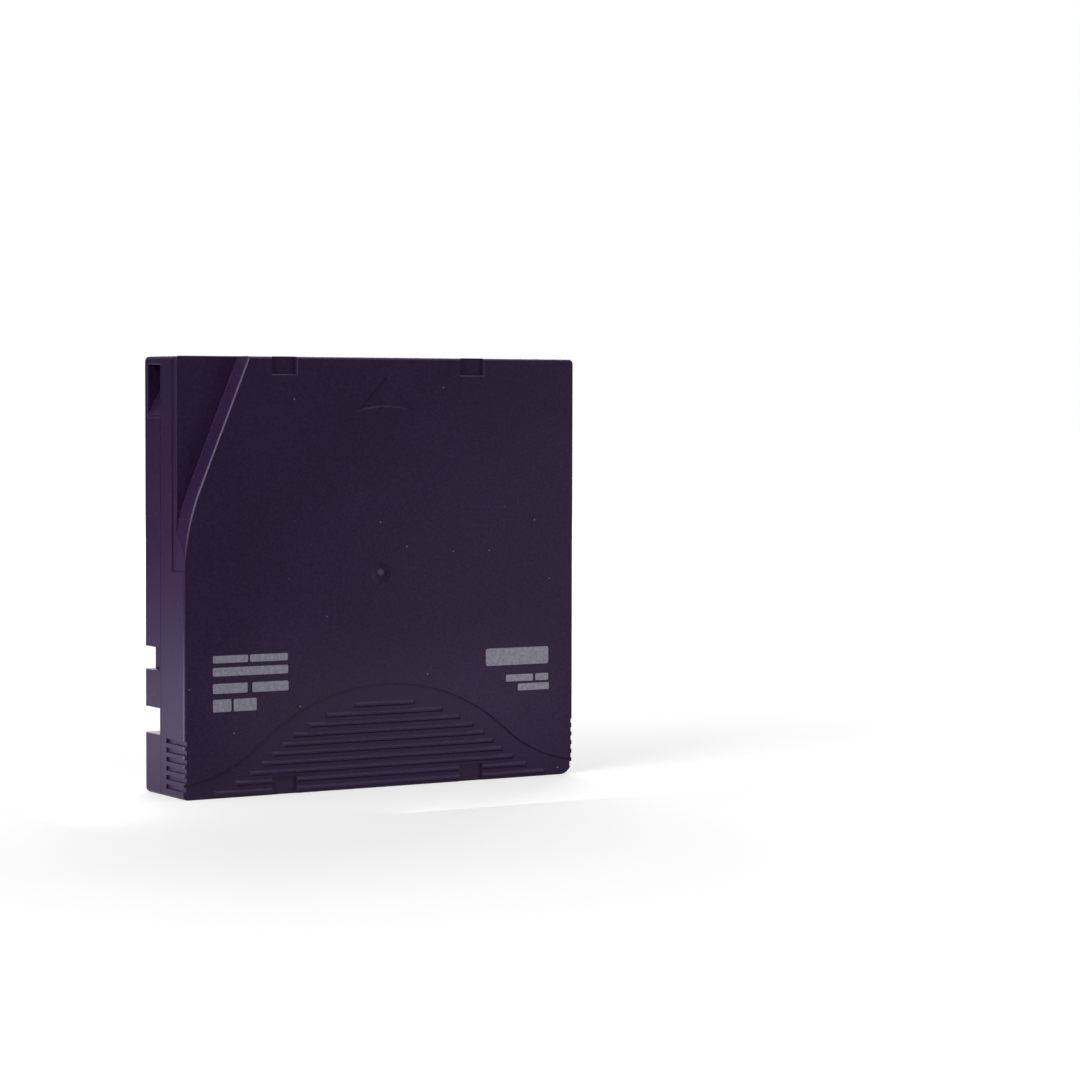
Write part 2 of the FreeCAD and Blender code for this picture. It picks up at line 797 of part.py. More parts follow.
def board_cradle():
    """Two upright ribs with slanted slots that hold the memory board's ends."""
    end = board_length / 2
    cheeks = []
    for inner in (board_x - end + board_grip, board_x + end - board_grip):
        outer = inner + math.copysign(cradle_thick, inner - board_x)
        cheeks.append(box(min(inner, outer), max(inner, outer), y_part + 0.3, y_floor + sunk,
                          side_wall - sunk, cradle_height))
    c = board_slot_clear
    slot = tilted_slab(board_length + 2 * c, board_width + 2 * c, board_thick + 2 * c, -board_thick / 2 - c)
    return cheeks, slot


def make_lower_shell():
    """Lower half of the case, with everything that stands inside it."""
    blank = outer_rounded(plan_block(0.0, y_part, y_base), y_base, lower_edge_round)
    hollow = plan_block(side_wall, y_part - proud, y_floor)
    y_cup = y_floor - pin_head_thick - 0.3
    y_under = y_floor + sunk
    notch_walls, notch_holes = location_notches()
    pocket_walls, pocket_cuts = latch_pocket()
    hole_bosses, holes = locating_holes()
    seat_bosses, seats = screw_seats()
    cheeks, board_slot = board_cradle()
    rim = ring(hub_opening_radius + hub_opening_rim, hub_opening_radius,
               y_flange_out + hub_rest_clear, y_under, reel_x, reel_z)
    spring_seat = box(x_rail_out, x_right - side_wall + sunk, door_spring_y - 1.5, y_under,
                      z_track_rear - 0.5, z_spring_seat)
    rail = door_rail(y_floor - door_rail_height, y_under)
    inner = [lip(), rail, pin_cup(y_cup, y_under), rim, switch_rail()]
    inner += notch_walls + pocket_walls + hole_bosses + seat_bosses + cheeks
    inner += pin_spring_ribs(y_cup, y_under)
    shell = blank.cut(hollow).fuse(inner)
    groove = plan_block(-1.0, y_part - 0.1, y_part + parting_groove).cut(
        plan_block(parting_groove, y_part - 0.1, y_part + parting_groove))
    cuts = notch_holes + pocket_cuts + [board_slot, groove, label_recess()] + holes + seats + door_opening()
    cuts += notch_cuts(y_base, -1)
    cuts.append(rod(hub_opening_radius, y_part, y_base + proud, reel_x, reel_z))
    return shell.cut(cuts).fuse(spring_seat).removeSplitter()


def make_case_screws():
    """The four self-tapping screws with slotted heads."""
    y_seat = y_base - screw_sink
    screws = []
    for x, z in screw_places:
        head = rod(screw_head_radius, y_seat, y_seat + screw_head_height, x, z)
        top = y_seat + screw_head_height
        for dx, dz in ((screw_head_radius * 0.7, screw_recess_width / 2),
                       (screw_recess_width / 2, screw_head_radius * 0.7)):
            head = head.cut(box(x - dx, x + dx, top - 0.8, top + 0.1, z - dz, z + dz))
        shank = rod(screw_shank_radius, y_seat - screw_length, y_seat, x, z)
        screws.append(joined(shank, head))
    return Part.makeCompound(screws)


# ---------------------------------------------------------------- reel

def tooth(radius_in, radius_out, y_root, y_tip, root, tip):
    """One straight tooth along a radius, tapering from its root to its tip."""
    sunk = math.copysign(0.2, y_root - y_tip)
    section = [(y_root + sunk, -root / 2), (y_root, -root / 2), (y_tip, -tip / 2),
               (y_tip, tip / 2), (y_root, root / 2), (y_root + sunk, root / 2)]
    corners = [V(reel_x + radius_in, y, reel_z + z) for y, z in section]
    face = Part.Face(Part.makePolygon(corners + corners[:1]))
    return face.extrude(V(radius_out - radius_in, 0, 0))


def tooth_angles(count, blocked_half_angle):
    """Even angles round the axis, without those beside the release pad's arms."""
    kept = []
    for i in range(count):
        angle = i * 360.0 / count
        gaps = [abs((angle - pad + 180.0) % 360.0 - 180.0) for pad in pad_angles]
        if min(gaps) > blocked_half_angle:
            kept.append(angle)
    return kept


def make_reel_hub():
    """Hub cup with its lower flange, drive teeth, brake teeth and pegs, as one moulding."""
    flange = ring(flange_radius, hub_radius - hub_wall, y_flange_low, y_flange_out, reel_x, reel_z)
    barrel = ring(hub_radius, hub_radius - hub_wall, -y_flange_low, y_flange_out, reel_x, reel_z)
    web = ring(hub_radius, hub_bore, y_web_top, y_flange_out, reel_x, reel_z)
    carrier = ring(tooth_ring_outer, tooth_ring_inner, y_flange_out - 0.2, y_teeth_root, reel_x, reel_z)
    half_gap = pad_leg_radius + pad_arm_clear + drive_tooth_root / 2
    leg_span = math.degrees(math.asin(half_gap / pad_leg_circle))
    drive = tooth(tooth_ring_inner + 0.2, tooth_ring_outer - 0.2, y_teeth_root, y_drive_tips,
                  drive_tooth_root, drive_tooth_tip)
    teeth = [spin(drive, a) for a in tooth_angles(drive_tooth_count, leg_span)]
    arm_span = math.degrees(math.asin((pad_arm_width + brake_tooth_root) / 2 / brake_tooth_inner)) + 2.0
    brake = tooth(brake_tooth_inner, brake_tooth_outer, y_web_top, y_hub_brake_tips,
                  brake_tooth_root, brake_tooth_tip)
    teeth += [spin(brake, a) for a in tooth_angles(brake_tooth_count, arm_span)]
    peg = rod(clutch_peg_radius, y_flange_out - 0.2, y_flange_out + clutch_thick,
              reel_x + clutch_peg_circle, reel_z)
    pegs = [spin(peg, a + 60.0) for a in pad_angles]
    hole = rod(pad_leg_radius + pad_arm_clear, y_web_top - 0.5, y_drive_tips + 0.5,
               reel_x + pad_leg_circle, reel_z)
    return joined(flange, barrel, web, carrier, *teeth, *pegs).cut([spin(hole, a) for a in pad_angles])


def make_upper_flange():
    """Clear flange whose collar centres it in the hub."""
    outer = hub_radius - hub_wall - collar_clear
    inner = outer - collar_wall
    disc = ring(flange_radius, inner, -y_flange_out, -y_flange_low, reel_x, reel_z)
    collar = ring(outer, inner, -y_flange_low - 0.2, -y_flange_low + collar_length, reel_x, reel_z)
    return joined(disc, collar)


def make_tape_pack():
    """The wound tape, all its turns as one ring."""
    return ring(tape_pack_radius, hub_radius + wind_clear, -tape_width / 2, tape_width / 2, reel_x, reel_z)


def make_clutch_plate():
    """Steel ring that the drive's magnet pulls on, held by three pegs."""
    plate = ring(clutch_outer, clutch_inner, y_flange_out, y_flange_out + clutch_thick, reel_x, reel_z)
    hole = rod(clutch_peg_radius + clutch_peg_clear, y_flange_out - 0.5, y_flange_out + clutch_thick + 0.5,
               reel_x + clutch_peg_circle, reel_z)
    return plate.cut([spin(hole, a + 60.0) for a in pad_angles])


# ---------------------------------------------------------------- brake

def make_brake_button():
    """Toothed disc with a collar whose cross-shaped hole slides on the case's key."""
    y_collar = y_button_top - brake_collar_height
    disc = rod(brake_disc_radius, y_button_top, y_button_under, reel_x, reel_z)
    collar = rod(brake_collar_radius, y_collar, y_button_top + 0.2, reel_x, reel_z)
    one = tooth(brake_tooth_inner, brake_tooth_outer, y_button_under, y_button_tips,
                brake_tooth_root, brake_tooth_tip)
    teeth = [spin(one, (i + 0.5) * 360.0 / brake_tooth_count) for i in range(brake_tooth_count)]
    half = key_fin_thick / 2 + key_clear
    reach = key_fin_radius + key_clear
    slot = box(reel_x - reach, reel_x + reach, y_collar - 1.0, y_button_top, reel_z - half, reel_z + half)
    core = rod(key_core_radius + key_clear, y_collar - 1.0, y_button_top, reel_x, reel_z)
    return joined(disc, collar, *teeth).cut([slot, spin(slot, 90.0), core])


def ball_y():
    """Height of the thrust ball's centre, just under the brake button."""
    return y_button_under + ball_clear + ball_radius


def make_release_pad():
    """Three-armed pad with a leg at each arm's end and a socket for the thrust ball."""
    boss = rod(pad_boss_radius, y_pad_top, y_pad_top + pad_boss_depth, reel_x, reel_z)
    arm = box(reel_x, reel_x + pad_leg_circle, y_pad_top, y_pad_under,
              reel_z - pad_arm_width / 2, reel_z + pad_arm_width / 2)
    toe = rod(pad_arm_reach - pad_leg_circle, y_pad_top, y_pad_under, reel_x + pad_leg_circle, reel_z)
    y_leg_end = y_drive_tips - pad_leg_proud + 0.4
    leg = rod(pad_leg_radius, y_pad_top, y_leg_end, reel_x + pad_leg_circle, reel_z)
    arms = [spin(piece, a) for a in pad_angles for piece in (arm, toe, leg)]
    socket = Part.makeSphere(ball_radius + ball_clear, V(reel_x, ball_y(), reel_z))
    mouth = rod(ball_radius + ball_clear, y_pad_top - 0.5, ball_y(), reel_x, reel_z)
    return joined(boss, *arms).cut([socket, mouth])


def make_thrust_ball():
    """Steel ball between the release pad and the brake button."""
    return Part.makeSphere(ball_radius, V(reel_x, ball_y(), reel_z))


def coil(radius, wire, length, turns):
    """Helical spring along Z from the origin, built of half turns tilted to follow each other."""
    half_rise = (length - wire) / (2 * turns)
    bend = math.hypot(radius, half_rise / 2)
    half_turn = Part.makeTorus(bend, wire / 2, V(0, 0, 0), V(0, 0, 1), 0, 360, 180)
    half_turn.rotate(V(0, 0, 0), V(0, 1, 0), math.degrees(math.atan2(half_rise / 2, radius)))
    pieces = []
    for i in range(2 * turns):
        piece = half_turn.copy()
        piece.rotate(V(0, 0, 0), V(0, 0, 1), 180.0 * i)
        piece.translate(V(0, 0, wire / 2 + half_rise * (i + 0.5)))
        pieces.append(piece)
    return pieces[0].fuse(pieces[1:]).Solids[0]


def make_brake_spring():
    """Spring round the button's collar, from the case to the button's disc."""
    y0 = y_ceiling + spring_seat_clear
    y1 = y_button_top - spring_seat_clear
    spring = coil(brake_spring_radius, brake_spring_wire, y1 - y0, brake_spring_turns)
    spring.rotate(V(0, 0, 0), V(1, 0, 0), -90.0)
    spring.translate(V(reel_x, y0, reel_z))
    return spring


# ---------------------------------------------------------------- door, pin, switch and memory

def make_access_door():
    """Sliding door plate with finger grooves on its outside."""
    plate = box(x_door_in, x_door_out, y_ceiling + door_end_clear, y_floor - door_end_clear,
                z_door_rear, z_door_front)
    grooves = []
    z = z_door_front - door_overlap - 1.5
    reach = door_opening_half_height - door_groove_margin
    for i in range(door_groove_count):
        top = z - i * door_groove_pitch
        grooves.append(box(x_door_out - door_groove_depth, x_door_out + 1.0, -reach, reach,
                           top - door_groove_width, top))
    return plate.cut(grooves)


def make_door_spring():
    """Thin spring behind the door that closes it."""
    spring = coil(door_spring_radius - door_spring_wire / 2, door_spring_wire, door_spring_length,
                  door_spring_turns)
    spring.translate(V((x_track + x_rail_out) / 2, door_spring_y, z_spring_seat + spring_seat_clear / 2))
    return spring


def make_leader_pin():
    """Steel pin with a head at each end."""
    half = pin_length / 2
    shaft = rod(pin_radius, -half, half, pin_x, pin_z)
    ends = (-half, half - pin_head_thick)
    heads = [rod(pin_head_radius, y, y + pin_head_thick, pin_x, pin_z) for y in ends]
    return joined(shaft, *heads)


def leader_line():
    """Start at the pin and unit direction of the leader, tangent to the tape pack's front."""
    dx, dz = pin_x - reel_x, pin_z - reel_z
    distance = math.hypot(dx, dz)
    radius = tape_pack_radius + leader_clear + leader_thick / 2
    angle = math.atan2(dz, dx) + math.acos(radius / distance)
    touch_x = reel_x + radius * math.cos(angle)
    touch_z = reel_z + radius * math.sin(angle)
    length = math.hypot(pin_x - touch_x, pin_z - touch_z)
    return (touch_x - pin_x) / length, (touch_z - pin_z) / length, length


def leader_slab(start, end, thick, width):
    """Flat strip along the leader's line, from start to end measured from the pin's axis."""
    ux, uz, _ = leader_line()
    nx, nz = -uz * thick / 2, ux * thick / 2
    x0, z0 = pin_x + ux * start, pin_z + uz * start
    x1, z1 = pin_x + ux * end, pin_z + uz * end
    points = [(x0 + nx, z0 + nz), (x1 + nx, z1 + nz), (x1 - nx, z1 - nz), (x0 - nx, z0 - nz)]
    return prism(points, -width / 2, width / 2)


def make_leader_clip():
    """C-shaped plastic clip that clamps the leader round the pin."""
    half = pin_length / 2 - pin_head_thick - clip_side_clear
    inner = pin_radius + clip_clear
    sleeve = ring(inner + clip_wall, inner, -half, half, pin_x, pin_z)
    slit = leader_thick + 2 * clip_clear
    return sleeve.cut(leader_slab(0.0, inner + clip_wall + 1.0, slit, 2 * half + 1.0))


def make_leader_tape():
    """The leader's free span, from the pin to the tape pack."""
    length = leader_line()[2]
    return leader_slab(pin_radius + 2 * clip_clear, length, leader_thick, tape_width)


def make_pin_spring():
    """Sprung strip across the case whose two arms hold the pin's heads in their cups."""
    z0 = pin_z - pin_spring_drop
    left = pin_x - pin_spring_foot / 2
    x_arm = pin_x + pin_head_radius + pin_spring_clear
    y_out = y_floor - pin_spring_clear
    back = box(left, x_arm + pin_spring_thick, -y_out, y_out, z0, z0 + pin_spring_thick)
    reach = y_out - pin_head_thick - 1.5
    window = box(left + 1.2, x_arm - 1.0, -reach, reach, z0 - 1.0, z0 + 1.0)
    arms = []
    for y in (-y_out, y_out - pin_spring_arm):
        arms.append(box(x_arm, x_arm + pin_spring_thick, y, y + pin_spring_arm,
                        z0, pin_z + pin_head_radius))
    return joined(back.cut(window), *arms)


def make_write_protect_switch():
    """Thumb piece with the flange that holds it behind the rear wall."""
    half, height = switch_thumb_length / 2, switch_thumb_height / 2
    thumb = box(switch_x - half, switch_x + half, switch_y - height, switch_y + height,
                switch_sink, side_wall + switch_clear + 0.2)
    notch = box(switch_x - 0.5, switch_x + 0.5, switch_y - height - 1.0, switch_y + height + 1.0,
                0.0, switch_sink + 0.5)
    m = switch_flange_margin
    z0 = side_wall + switch_clear
    flange = box(switch_x - half - m, switch_x + half + m, switch_y - height - m, switch_y + height + m,
                 z0, z0 + switch_flange_thick)
    return joined(thumb, flange).cut(notch)


def make_memory_board():
    """Small circuit board held at a slant."""
    return tilted_slab(board_length, board_width, board_thick, -board_thick / 2)


def make_memory_chip():
    """Chip on the board's outer side."""
    return tilted_slab(chip_size, chip_size, chip_thick, board_thick / 2)


NODES = {
    "upper_shell": make_upper_shell,
    "lower_shell": make_lower_shell,
    "case_screws": make_case_screws,
    "reel_hub": make_reel_hub,
    "upper_flange": make_upper_flange,
    "tape_pack": make_tape_pack,
    "clutch_plate": make_clutch_plate,
    "brake_button": make_brake_button,
    "brake_spring": make_brake_spring,
    "brake_release_pad": make_release_pad,
    "thrust_ball": make_thrust_ball,
    "access_door": make_access_door,
    "door_spring": make_door_spring,
    "leader_pin": make_leader_pin,
    "leader_clip": make_leader_clip,
    "leader_tape": make_leader_tape,
    "pin_retaining_spring": make_pin_spring,
    "write_protect_switch": make_write_protect_switch,
    "memory_board": make_memory_board,
    "memory_chip": make_memory_chip,
}


def main():
    """Build every node and write its STEP file."""
    os.makedirs("parts", exist_ok=True)
    for name, make in NODES.items():
        shape = make()
        shape.exportStep("parts/" + name + ".step")
        print(name, "solids", len(shape.Solids), "volume", round(shape.Volume, 1), "valid", shape.isValid())


main()
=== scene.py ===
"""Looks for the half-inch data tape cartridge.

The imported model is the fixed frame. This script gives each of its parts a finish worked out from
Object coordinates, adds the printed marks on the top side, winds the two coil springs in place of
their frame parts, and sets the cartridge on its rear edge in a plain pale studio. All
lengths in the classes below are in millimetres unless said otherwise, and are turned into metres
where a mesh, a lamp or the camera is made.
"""

import logging
import math
from dataclasses import dataclass, field
from enum import Enum
from typing import Any, Protocol

import bpy
import numpy as np
from mathutils import Matrix, Vector

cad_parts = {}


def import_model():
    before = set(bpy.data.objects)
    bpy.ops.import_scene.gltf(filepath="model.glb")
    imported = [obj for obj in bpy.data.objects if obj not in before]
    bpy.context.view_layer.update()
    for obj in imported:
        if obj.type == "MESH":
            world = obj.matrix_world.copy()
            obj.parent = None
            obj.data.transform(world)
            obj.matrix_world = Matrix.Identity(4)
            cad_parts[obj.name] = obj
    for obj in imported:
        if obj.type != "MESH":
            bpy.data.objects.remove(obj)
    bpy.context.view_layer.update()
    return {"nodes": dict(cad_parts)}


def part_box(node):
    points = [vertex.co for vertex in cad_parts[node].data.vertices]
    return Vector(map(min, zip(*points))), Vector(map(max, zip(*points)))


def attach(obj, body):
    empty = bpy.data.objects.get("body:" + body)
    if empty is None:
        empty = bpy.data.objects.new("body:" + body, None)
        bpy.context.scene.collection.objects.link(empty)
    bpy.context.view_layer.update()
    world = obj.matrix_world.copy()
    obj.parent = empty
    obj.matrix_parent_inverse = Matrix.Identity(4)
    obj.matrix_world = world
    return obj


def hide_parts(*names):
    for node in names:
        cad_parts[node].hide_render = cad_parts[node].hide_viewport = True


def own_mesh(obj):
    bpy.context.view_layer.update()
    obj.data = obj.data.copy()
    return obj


LOG = logging.getLogger("cartridge")
MM = 0.001

Colour = tuple[float, float, float]
Spot = tuple[float, float, float]
Floats = np.ndarray
Faces = np.ndarray


# ---------------------------------------------------------------- options

class Body(Enum):
    """The moving bodies of the cartridge."""

    CASE = "case"
    REEL = "reel"
    BRAKE = "brake"
    RELEASE_PAD = "release_pad"
    DOOR = "door"
    SWITCH = "switch"


class Grain(Enum):
    """How the mould was finished: size of the texture and its depth, in millimetres."""

    SPARKED = (0.32, 0.010)
    SATIN = (0.16, 0.004)
    POLISHED = (0.60, 0.002)


class Lay(Enum):
    """Direction in which metal was drawn or ground: how far the pattern is stretched on X, Y and Z."""

    ALONG_X = (0.04, 1.0, 1.0)
    ALONG_Y = (1.0, 0.04, 1.0)
    EVEN = (1.0, 1.0, 1.0)


# ---------------------------------------------------------------- node trees

class Tree:
    """A node tree with short calls for adding and joining nodes."""

    def __init__(self, tree: bpy.types.NodeTree) -> None:
        """Wrap a tree.

        Args:
            tree: The material's, world's or group's node tree.
        """
        self.tree = tree

    def add(self, kind: str, values: dict[str, Any] | None = None, **settings: Any) -> bpy.types.Node:
        """Add a node.

        Args:
            kind: The node's type name.
            values: Values for its input sockets, by name or index.
            **settings: The node's own properties.

        Returns:
            The new node.
        """
        node = self.tree.nodes.new(kind)
        for name, value in settings.items():
            setattr(node, name, value)
        for name, value in (values or {}).items():
            node.inputs[name].default_value = value
        return node

    def join(self, source: bpy.types.NodeSocket, target: bpy.types.NodeSocket) -> None:
        """Link an output to an input."""
        self.tree.links.new(source, target)

    def maths(self, operation: str, first: Any, second: Any = 0.0, third: Any = None,
              clamp: bool = False) -> bpy.types.NodeSocket:
        """Add a Math node whose inputs are sockets or numbers.

        Args:
            operation: The Math node's operation.
            first: First value.
            second: Second value.
            third: Third value, where the operation takes one.
            clamp: Whether the result is kept between 0 and 1.

        Returns:
            The result's socket.
        """
        node = self.add("ShaderNodeMath", operation=operation, use_clamp=clamp)
        for slot, value in zip(node.inputs, (first, second, third)):
            if isinstance(value, bpy.types.NodeSocket):
                self.join(value, slot)
            elif value is not None:
                slot.default_value = value
        return node.outputs[0]

    def spread(self, value: bpy.types.NodeSocket, low: float, high: float,
               out_low: float, out_high: float) -> bpy.types.NodeSocket:
        """Carry a value linearly from one span to another, clamped at the ends.

        Args:
            value: The value's socket.
            low: Value that gives out_low.
            high: Value that gives out_high.
            out_low: Result at low.
            out_high: Result at high.

        Returns:
            The result's socket.
        """
        node = self.add("ShaderNodeMapRange", {"From Min": low, "From Max": high,
                                               "To Min": out_low, "To Max": out_high})
        self.join(value, node.inputs["Value"])
        return node.outputs["Result"]

    def blend(self, share: Any, first: Any, second: Any, kind: str = "MIX") -> bpy.types.NodeSocket:
        """Mix two colours.

        Args:
            share: Share of the second colour, a socket or a number.
            first: First colour, a socket or three numbers.
            second: Second colour, a socket or three numbers.
            kind: The mix's blend type.

        Returns:
            The mixed colour's socket.
        """
        node = self.add("ShaderNodeMix", data_type="RGBA", blend_type=kind)
        for slot, value in ((node.inputs[0], share), (node.inputs[6], first), (node.inputs[7], second)):
            if isinstance(value, bpy.types.NodeSocket):
                self.join(value, slot)
            else:
                slot.default_value = (*value, 1.0) if isinstance(value, tuple) else value
        return node.outputs[2]


class EffectGroup:
    """A shader node group with named sockets, built once and placed in each material."""

    title = "effect"
    sockets_in: tuple[tuple[str, str, float], ...] = ()
    sockets_out: tuple[tuple[str, str], ...] = ()

    def __init__(self) -> None:
        """Build the group's tree and fill it."""
        self.group = bpy.data.node_groups.new(self.title, "ShaderNodeTree")
        for name, kind, value in self.sockets_in:
            socket = self.group.interface.new_socket(name, in_out="INPUT", socket_type=kind)
            if kind == "NodeSocketFloat":
                socket.default_value = value
        for name, kind in self.sockets_out:
            self.group.interface.new_socket(name, in_out="OUTPUT", socket_type=kind)
        tree = Tree(self.group)
        self.fill(tree, tree.add("NodeGroupInput"), tree.add("NodeGroupOutput"))

    def fill(self, tree: Tree, source: bpy.types.Node, sink: bpy.types.Node) -> None:
        """Add the group's nodes.

        Args:
            tree: The group's tree.
            source: Its input node.
            sink: Its output node.
        """
        raise NotImplementedError

    def place(self, tree: Tree, values: dict[str, Any]) -> bpy.types.Node:
        """Put the group in a material.

        Args:
            tree: The material's tree.
            values: Values of the group's inputs.

        Returns:
            The group node.
        """
        node = tree.add("ShaderNodeGroup", node_tree=self.group)
        for name, value in values.items():
            if isinstance(value, bpy.types.NodeSocket):
                tree.join(value, node.inputs[name])
            else:
                node.inputs[name].default_value = value
        return node


class MouldGrain(EffectGroup):
    """Fine texture of a mould: two sizes of noise, with a slow cloud that shifts tone and gloss."""

    title = "mould_grain"
    sockets_in = (("Position", "NodeSocketVector", 0.0), ("Fineness", "NodeSocketFloat", 3000.0))
    sockets_out = (("Height", "NodeSocketFloat"), ("Cloud", "NodeSocketFloat"), ("Fleck", "NodeSocketFloat"))

    def fill(self, tree: Tree, source: bpy.types.Node, sink: bpy.types.Node) -> None:
        """Height is three parts fine noise and one part coarser noise; Cloud is slow noise.

        Args:
            tree: The group's tree.
            source: Its input node.
            sink: Its output node.
        """
        fine = tree.add("ShaderNodeTexNoise", {"Detail": 2.0, "Roughness": 0.6})
        coarse = tree.add("ShaderNodeTexNoise", {"Detail": 1.0, "Roughness": 0.5})
        cloud = tree.add("ShaderNodeTexNoise", {"Scale": 34.0, "Detail": 3.0, "Roughness": 0.55})
        for noise in (fine, coarse, cloud):
            tree.join(source.outputs["Position"], noise.inputs["Vector"])
        tree.join(source.outputs["Fineness"], fine.inputs["Scale"])
        tree.join(tree.maths("MULTIPLY", source.outputs["Fineness"], 0.5), coarse.inputs["Scale"])
        height = tree.maths("MULTIPLY_ADD", fine.outputs["Fac"], 0.75,
                            tree.maths("MULTIPLY", coarse.outputs["Fac"], 0.25))
        tree.join(height, sink.inputs["Height"])
        tree.join(tree.spread(cloud.outputs["Fac"], 0.3, 0.7, 0.0, 1.0), sink.inputs["Cloud"])
        tree.join(tree.spread(coarse.outputs["Fac"], 0.3, 0.7, 0.0, 1.0), sink.inputs["Fleck"])


class DustSpecks(EffectGroup):
    """Sparse pale specks: round spots at the middles of a few cells of a Voronoi pattern."""

    title = "dust_specks"
    sockets_in = (("Position", "NodeSocketVector", 0.0), ("Spacing", "NodeSocketFloat", 700.0),
                  ("Share", "NodeSocketFloat", 0.01))
    sockets_out = (("Mask", "NodeSocketFloat"),)

    def fill(self, tree: Tree, source: bpy.types.Node, sink: bpy.types.Node) -> None:
        """Mask is 1 within a small radius of a cell's middle, in the cells whose random tone is below Share.

        Args:
            tree: The group's tree.
            source: Its input node.
            sink: Its output node.
        """
        cells = tree.add("ShaderNodeTexVoronoi", {"Randomness": 1.0})
        tree.join(source.outputs["Position"], cells.inputs["Vector"])
        tree.join(source.outputs["Spacing"], cells.inputs["Scale"])
        tone = tree.add("ShaderNodeSeparateColor")
        tree.join(cells.outputs["Color"], tone.inputs[0])
        spot = tree.spread(cells.outputs["Distance"], 0.09, 0.17, 1.0, 0.0)
        chosen = tree.maths("LESS_THAN", tone.outputs[0], source.outputs["Share"])
        faint = tree.maths("MULTIPLY_ADD", tone.outputs[1], 0.7, 0.3)
        tree.join(tree.maths("MULTIPLY", tree.maths("MULTIPLY", spot, chosen), faint), sink.inputs["Mask"])


class EdgeWearAndHighlight(EffectGroup):
    """Edges paler and smoother, partly real wear and partly painted highlight: where the rounded normal
    leaves the face's own normal.
    """

    title = "edge_wear_and_painted_highlight"
    sockets_in = (("Position", "NodeSocketVector", 0.0), ("Radius", "NodeSocketFloat", 0.0003))
    sockets_out = (("Mask", "NodeSocketFloat"),)

    def fill(self, tree: Tree, source: bpy.types.Node, sink: bpy.types.Node) -> None:
        """Mask grows as the dot product of the two normals falls from 1, broken up by noise.

        Args:
            tree: The group's tree.
            source: Its input node.
            sink: Its output node.
        """
        rounded = tree.add("ShaderNodeBevel", samples=4)
        tree.join(source.outputs["Radius"], rounded.inputs["Radius"])
        face = tree.add("ShaderNodeNewGeometry")
        alike = tree.add("ShaderNodeVectorMath", operation="DOT_PRODUCT")
        tree.join(rounded.outputs["Normal"], alike.inputs[0])
        tree.join(face.outputs["Normal"], alike.inputs[1])
        patchy = tree.add("ShaderNodeTexNoise", {"Scale": 300.0, "Detail": 3.0})
        tree.join(source.outputs["Position"], patchy.inputs["Vector"])
        worn_lit_edge = tree.spread(alike.outputs["Value"], 0.995, 0.90, 0.0, 1.0)
        broken = tree.spread(patchy.outputs["Fac"], 0.25, 0.6, 0.35, 1.0)
        tree.join(tree.maths("MULTIPLY", worn_lit_edge, broken), sink.inputs["Mask"])


class GateScar(EffectGroup):
    """Whitened, torn plastic where the runner was broken off at the gate."""

    title = "gate_scar"
    sockets_in = (("Position", "NodeSocketVector", 0.0), ("Middle", "NodeSocketVector", 0.0),
                  ("Radius", "NodeSocketFloat", 0.001))
    sockets_out = (("Mask", "NodeSocketFloat"),)

    def fill(self, tree: Tree, source: bpy.types.Node, sink: bpy.types.Node) -> None:
        """Mask is a disc about the middle whose rim and tone are broken up by fine noise.

        Args:
            tree: The group's tree.
            source: Its input node.
            sink: Its output node.
        """
        away = tree.add("ShaderNodeVectorMath", operation="DISTANCE")
        tree.join(source.outputs["Position"], away.inputs[0])
        tree.join(source.outputs["Middle"], away.inputs[1])
        torn = tree.add("ShaderNodeTexNoise", {"Scale": 2600.0, "Detail": 3.0, "Roughness": 0.6})
        tree.join(source.outputs["Position"], torn.inputs["Vector"])
        share = tree.maths("DIVIDE", away.outputs["Value"], source.outputs["Radius"])
        uneven = tree.maths("ADD", share, tree.spread(torn.outputs["Fac"], 0.3, 0.7, -0.25, 0.25))
        disc = tree.spread(uneven, 0.75, 1.0, 1.0, 0.0)
        tone = tree.spread(torn.outputs["Fac"], 0.35, 0.65, 0.25, 1.0)
        tree.join(tree.maths("MULTIPLY", disc, tone), sink.inputs["Mask"])


class MetalLay(EffectGroup):
    """Drawn or ground metal: noise stretched along one direction."""

    title = "metal_lay"
    sockets_in = (("Position", "NodeSocketVector", 0.0), ("Stretch", "NodeSocketVector", 0.0),
                  ("Fineness", "NodeSocketFloat", 6000.0))
    sockets_out = (("Height", "NodeSocketFloat"), ("Streak", "NodeSocketFloat"))

    def fill(self, tree: Tree, source: bpy.types.Node, sink: bpy.types.Node) -> None:
        """The position is multiplied by Stretch before the noise reads it, so it runs long one way.

        Args:
            tree: The group's tree.
            source: Its input node.
            sink: Its output node.
        """
        drawn = tree.add("ShaderNodeVectorMath", operation="MULTIPLY")
        tree.join(source.outputs["Position"], drawn.inputs[0])
        tree.join(source.outputs["Stretch"], drawn.inputs[1])
        noise = tree.add("ShaderNodeTexNoise", {"Detail": 4.0, "Roughness": 0.65})
        tree.join(drawn.outputs[0], noise.inputs["Vector"])
        tree.join(source.outputs["Fineness"], noise.inputs["Scale"])
        tree.join(noise.outputs["Fac"], sink.inputs["Height"])
        tree.join(tree.spread(noise.outputs["Fac"], 0.3, 0.7, 0.0, 1.0), sink.inputs["Streak"])


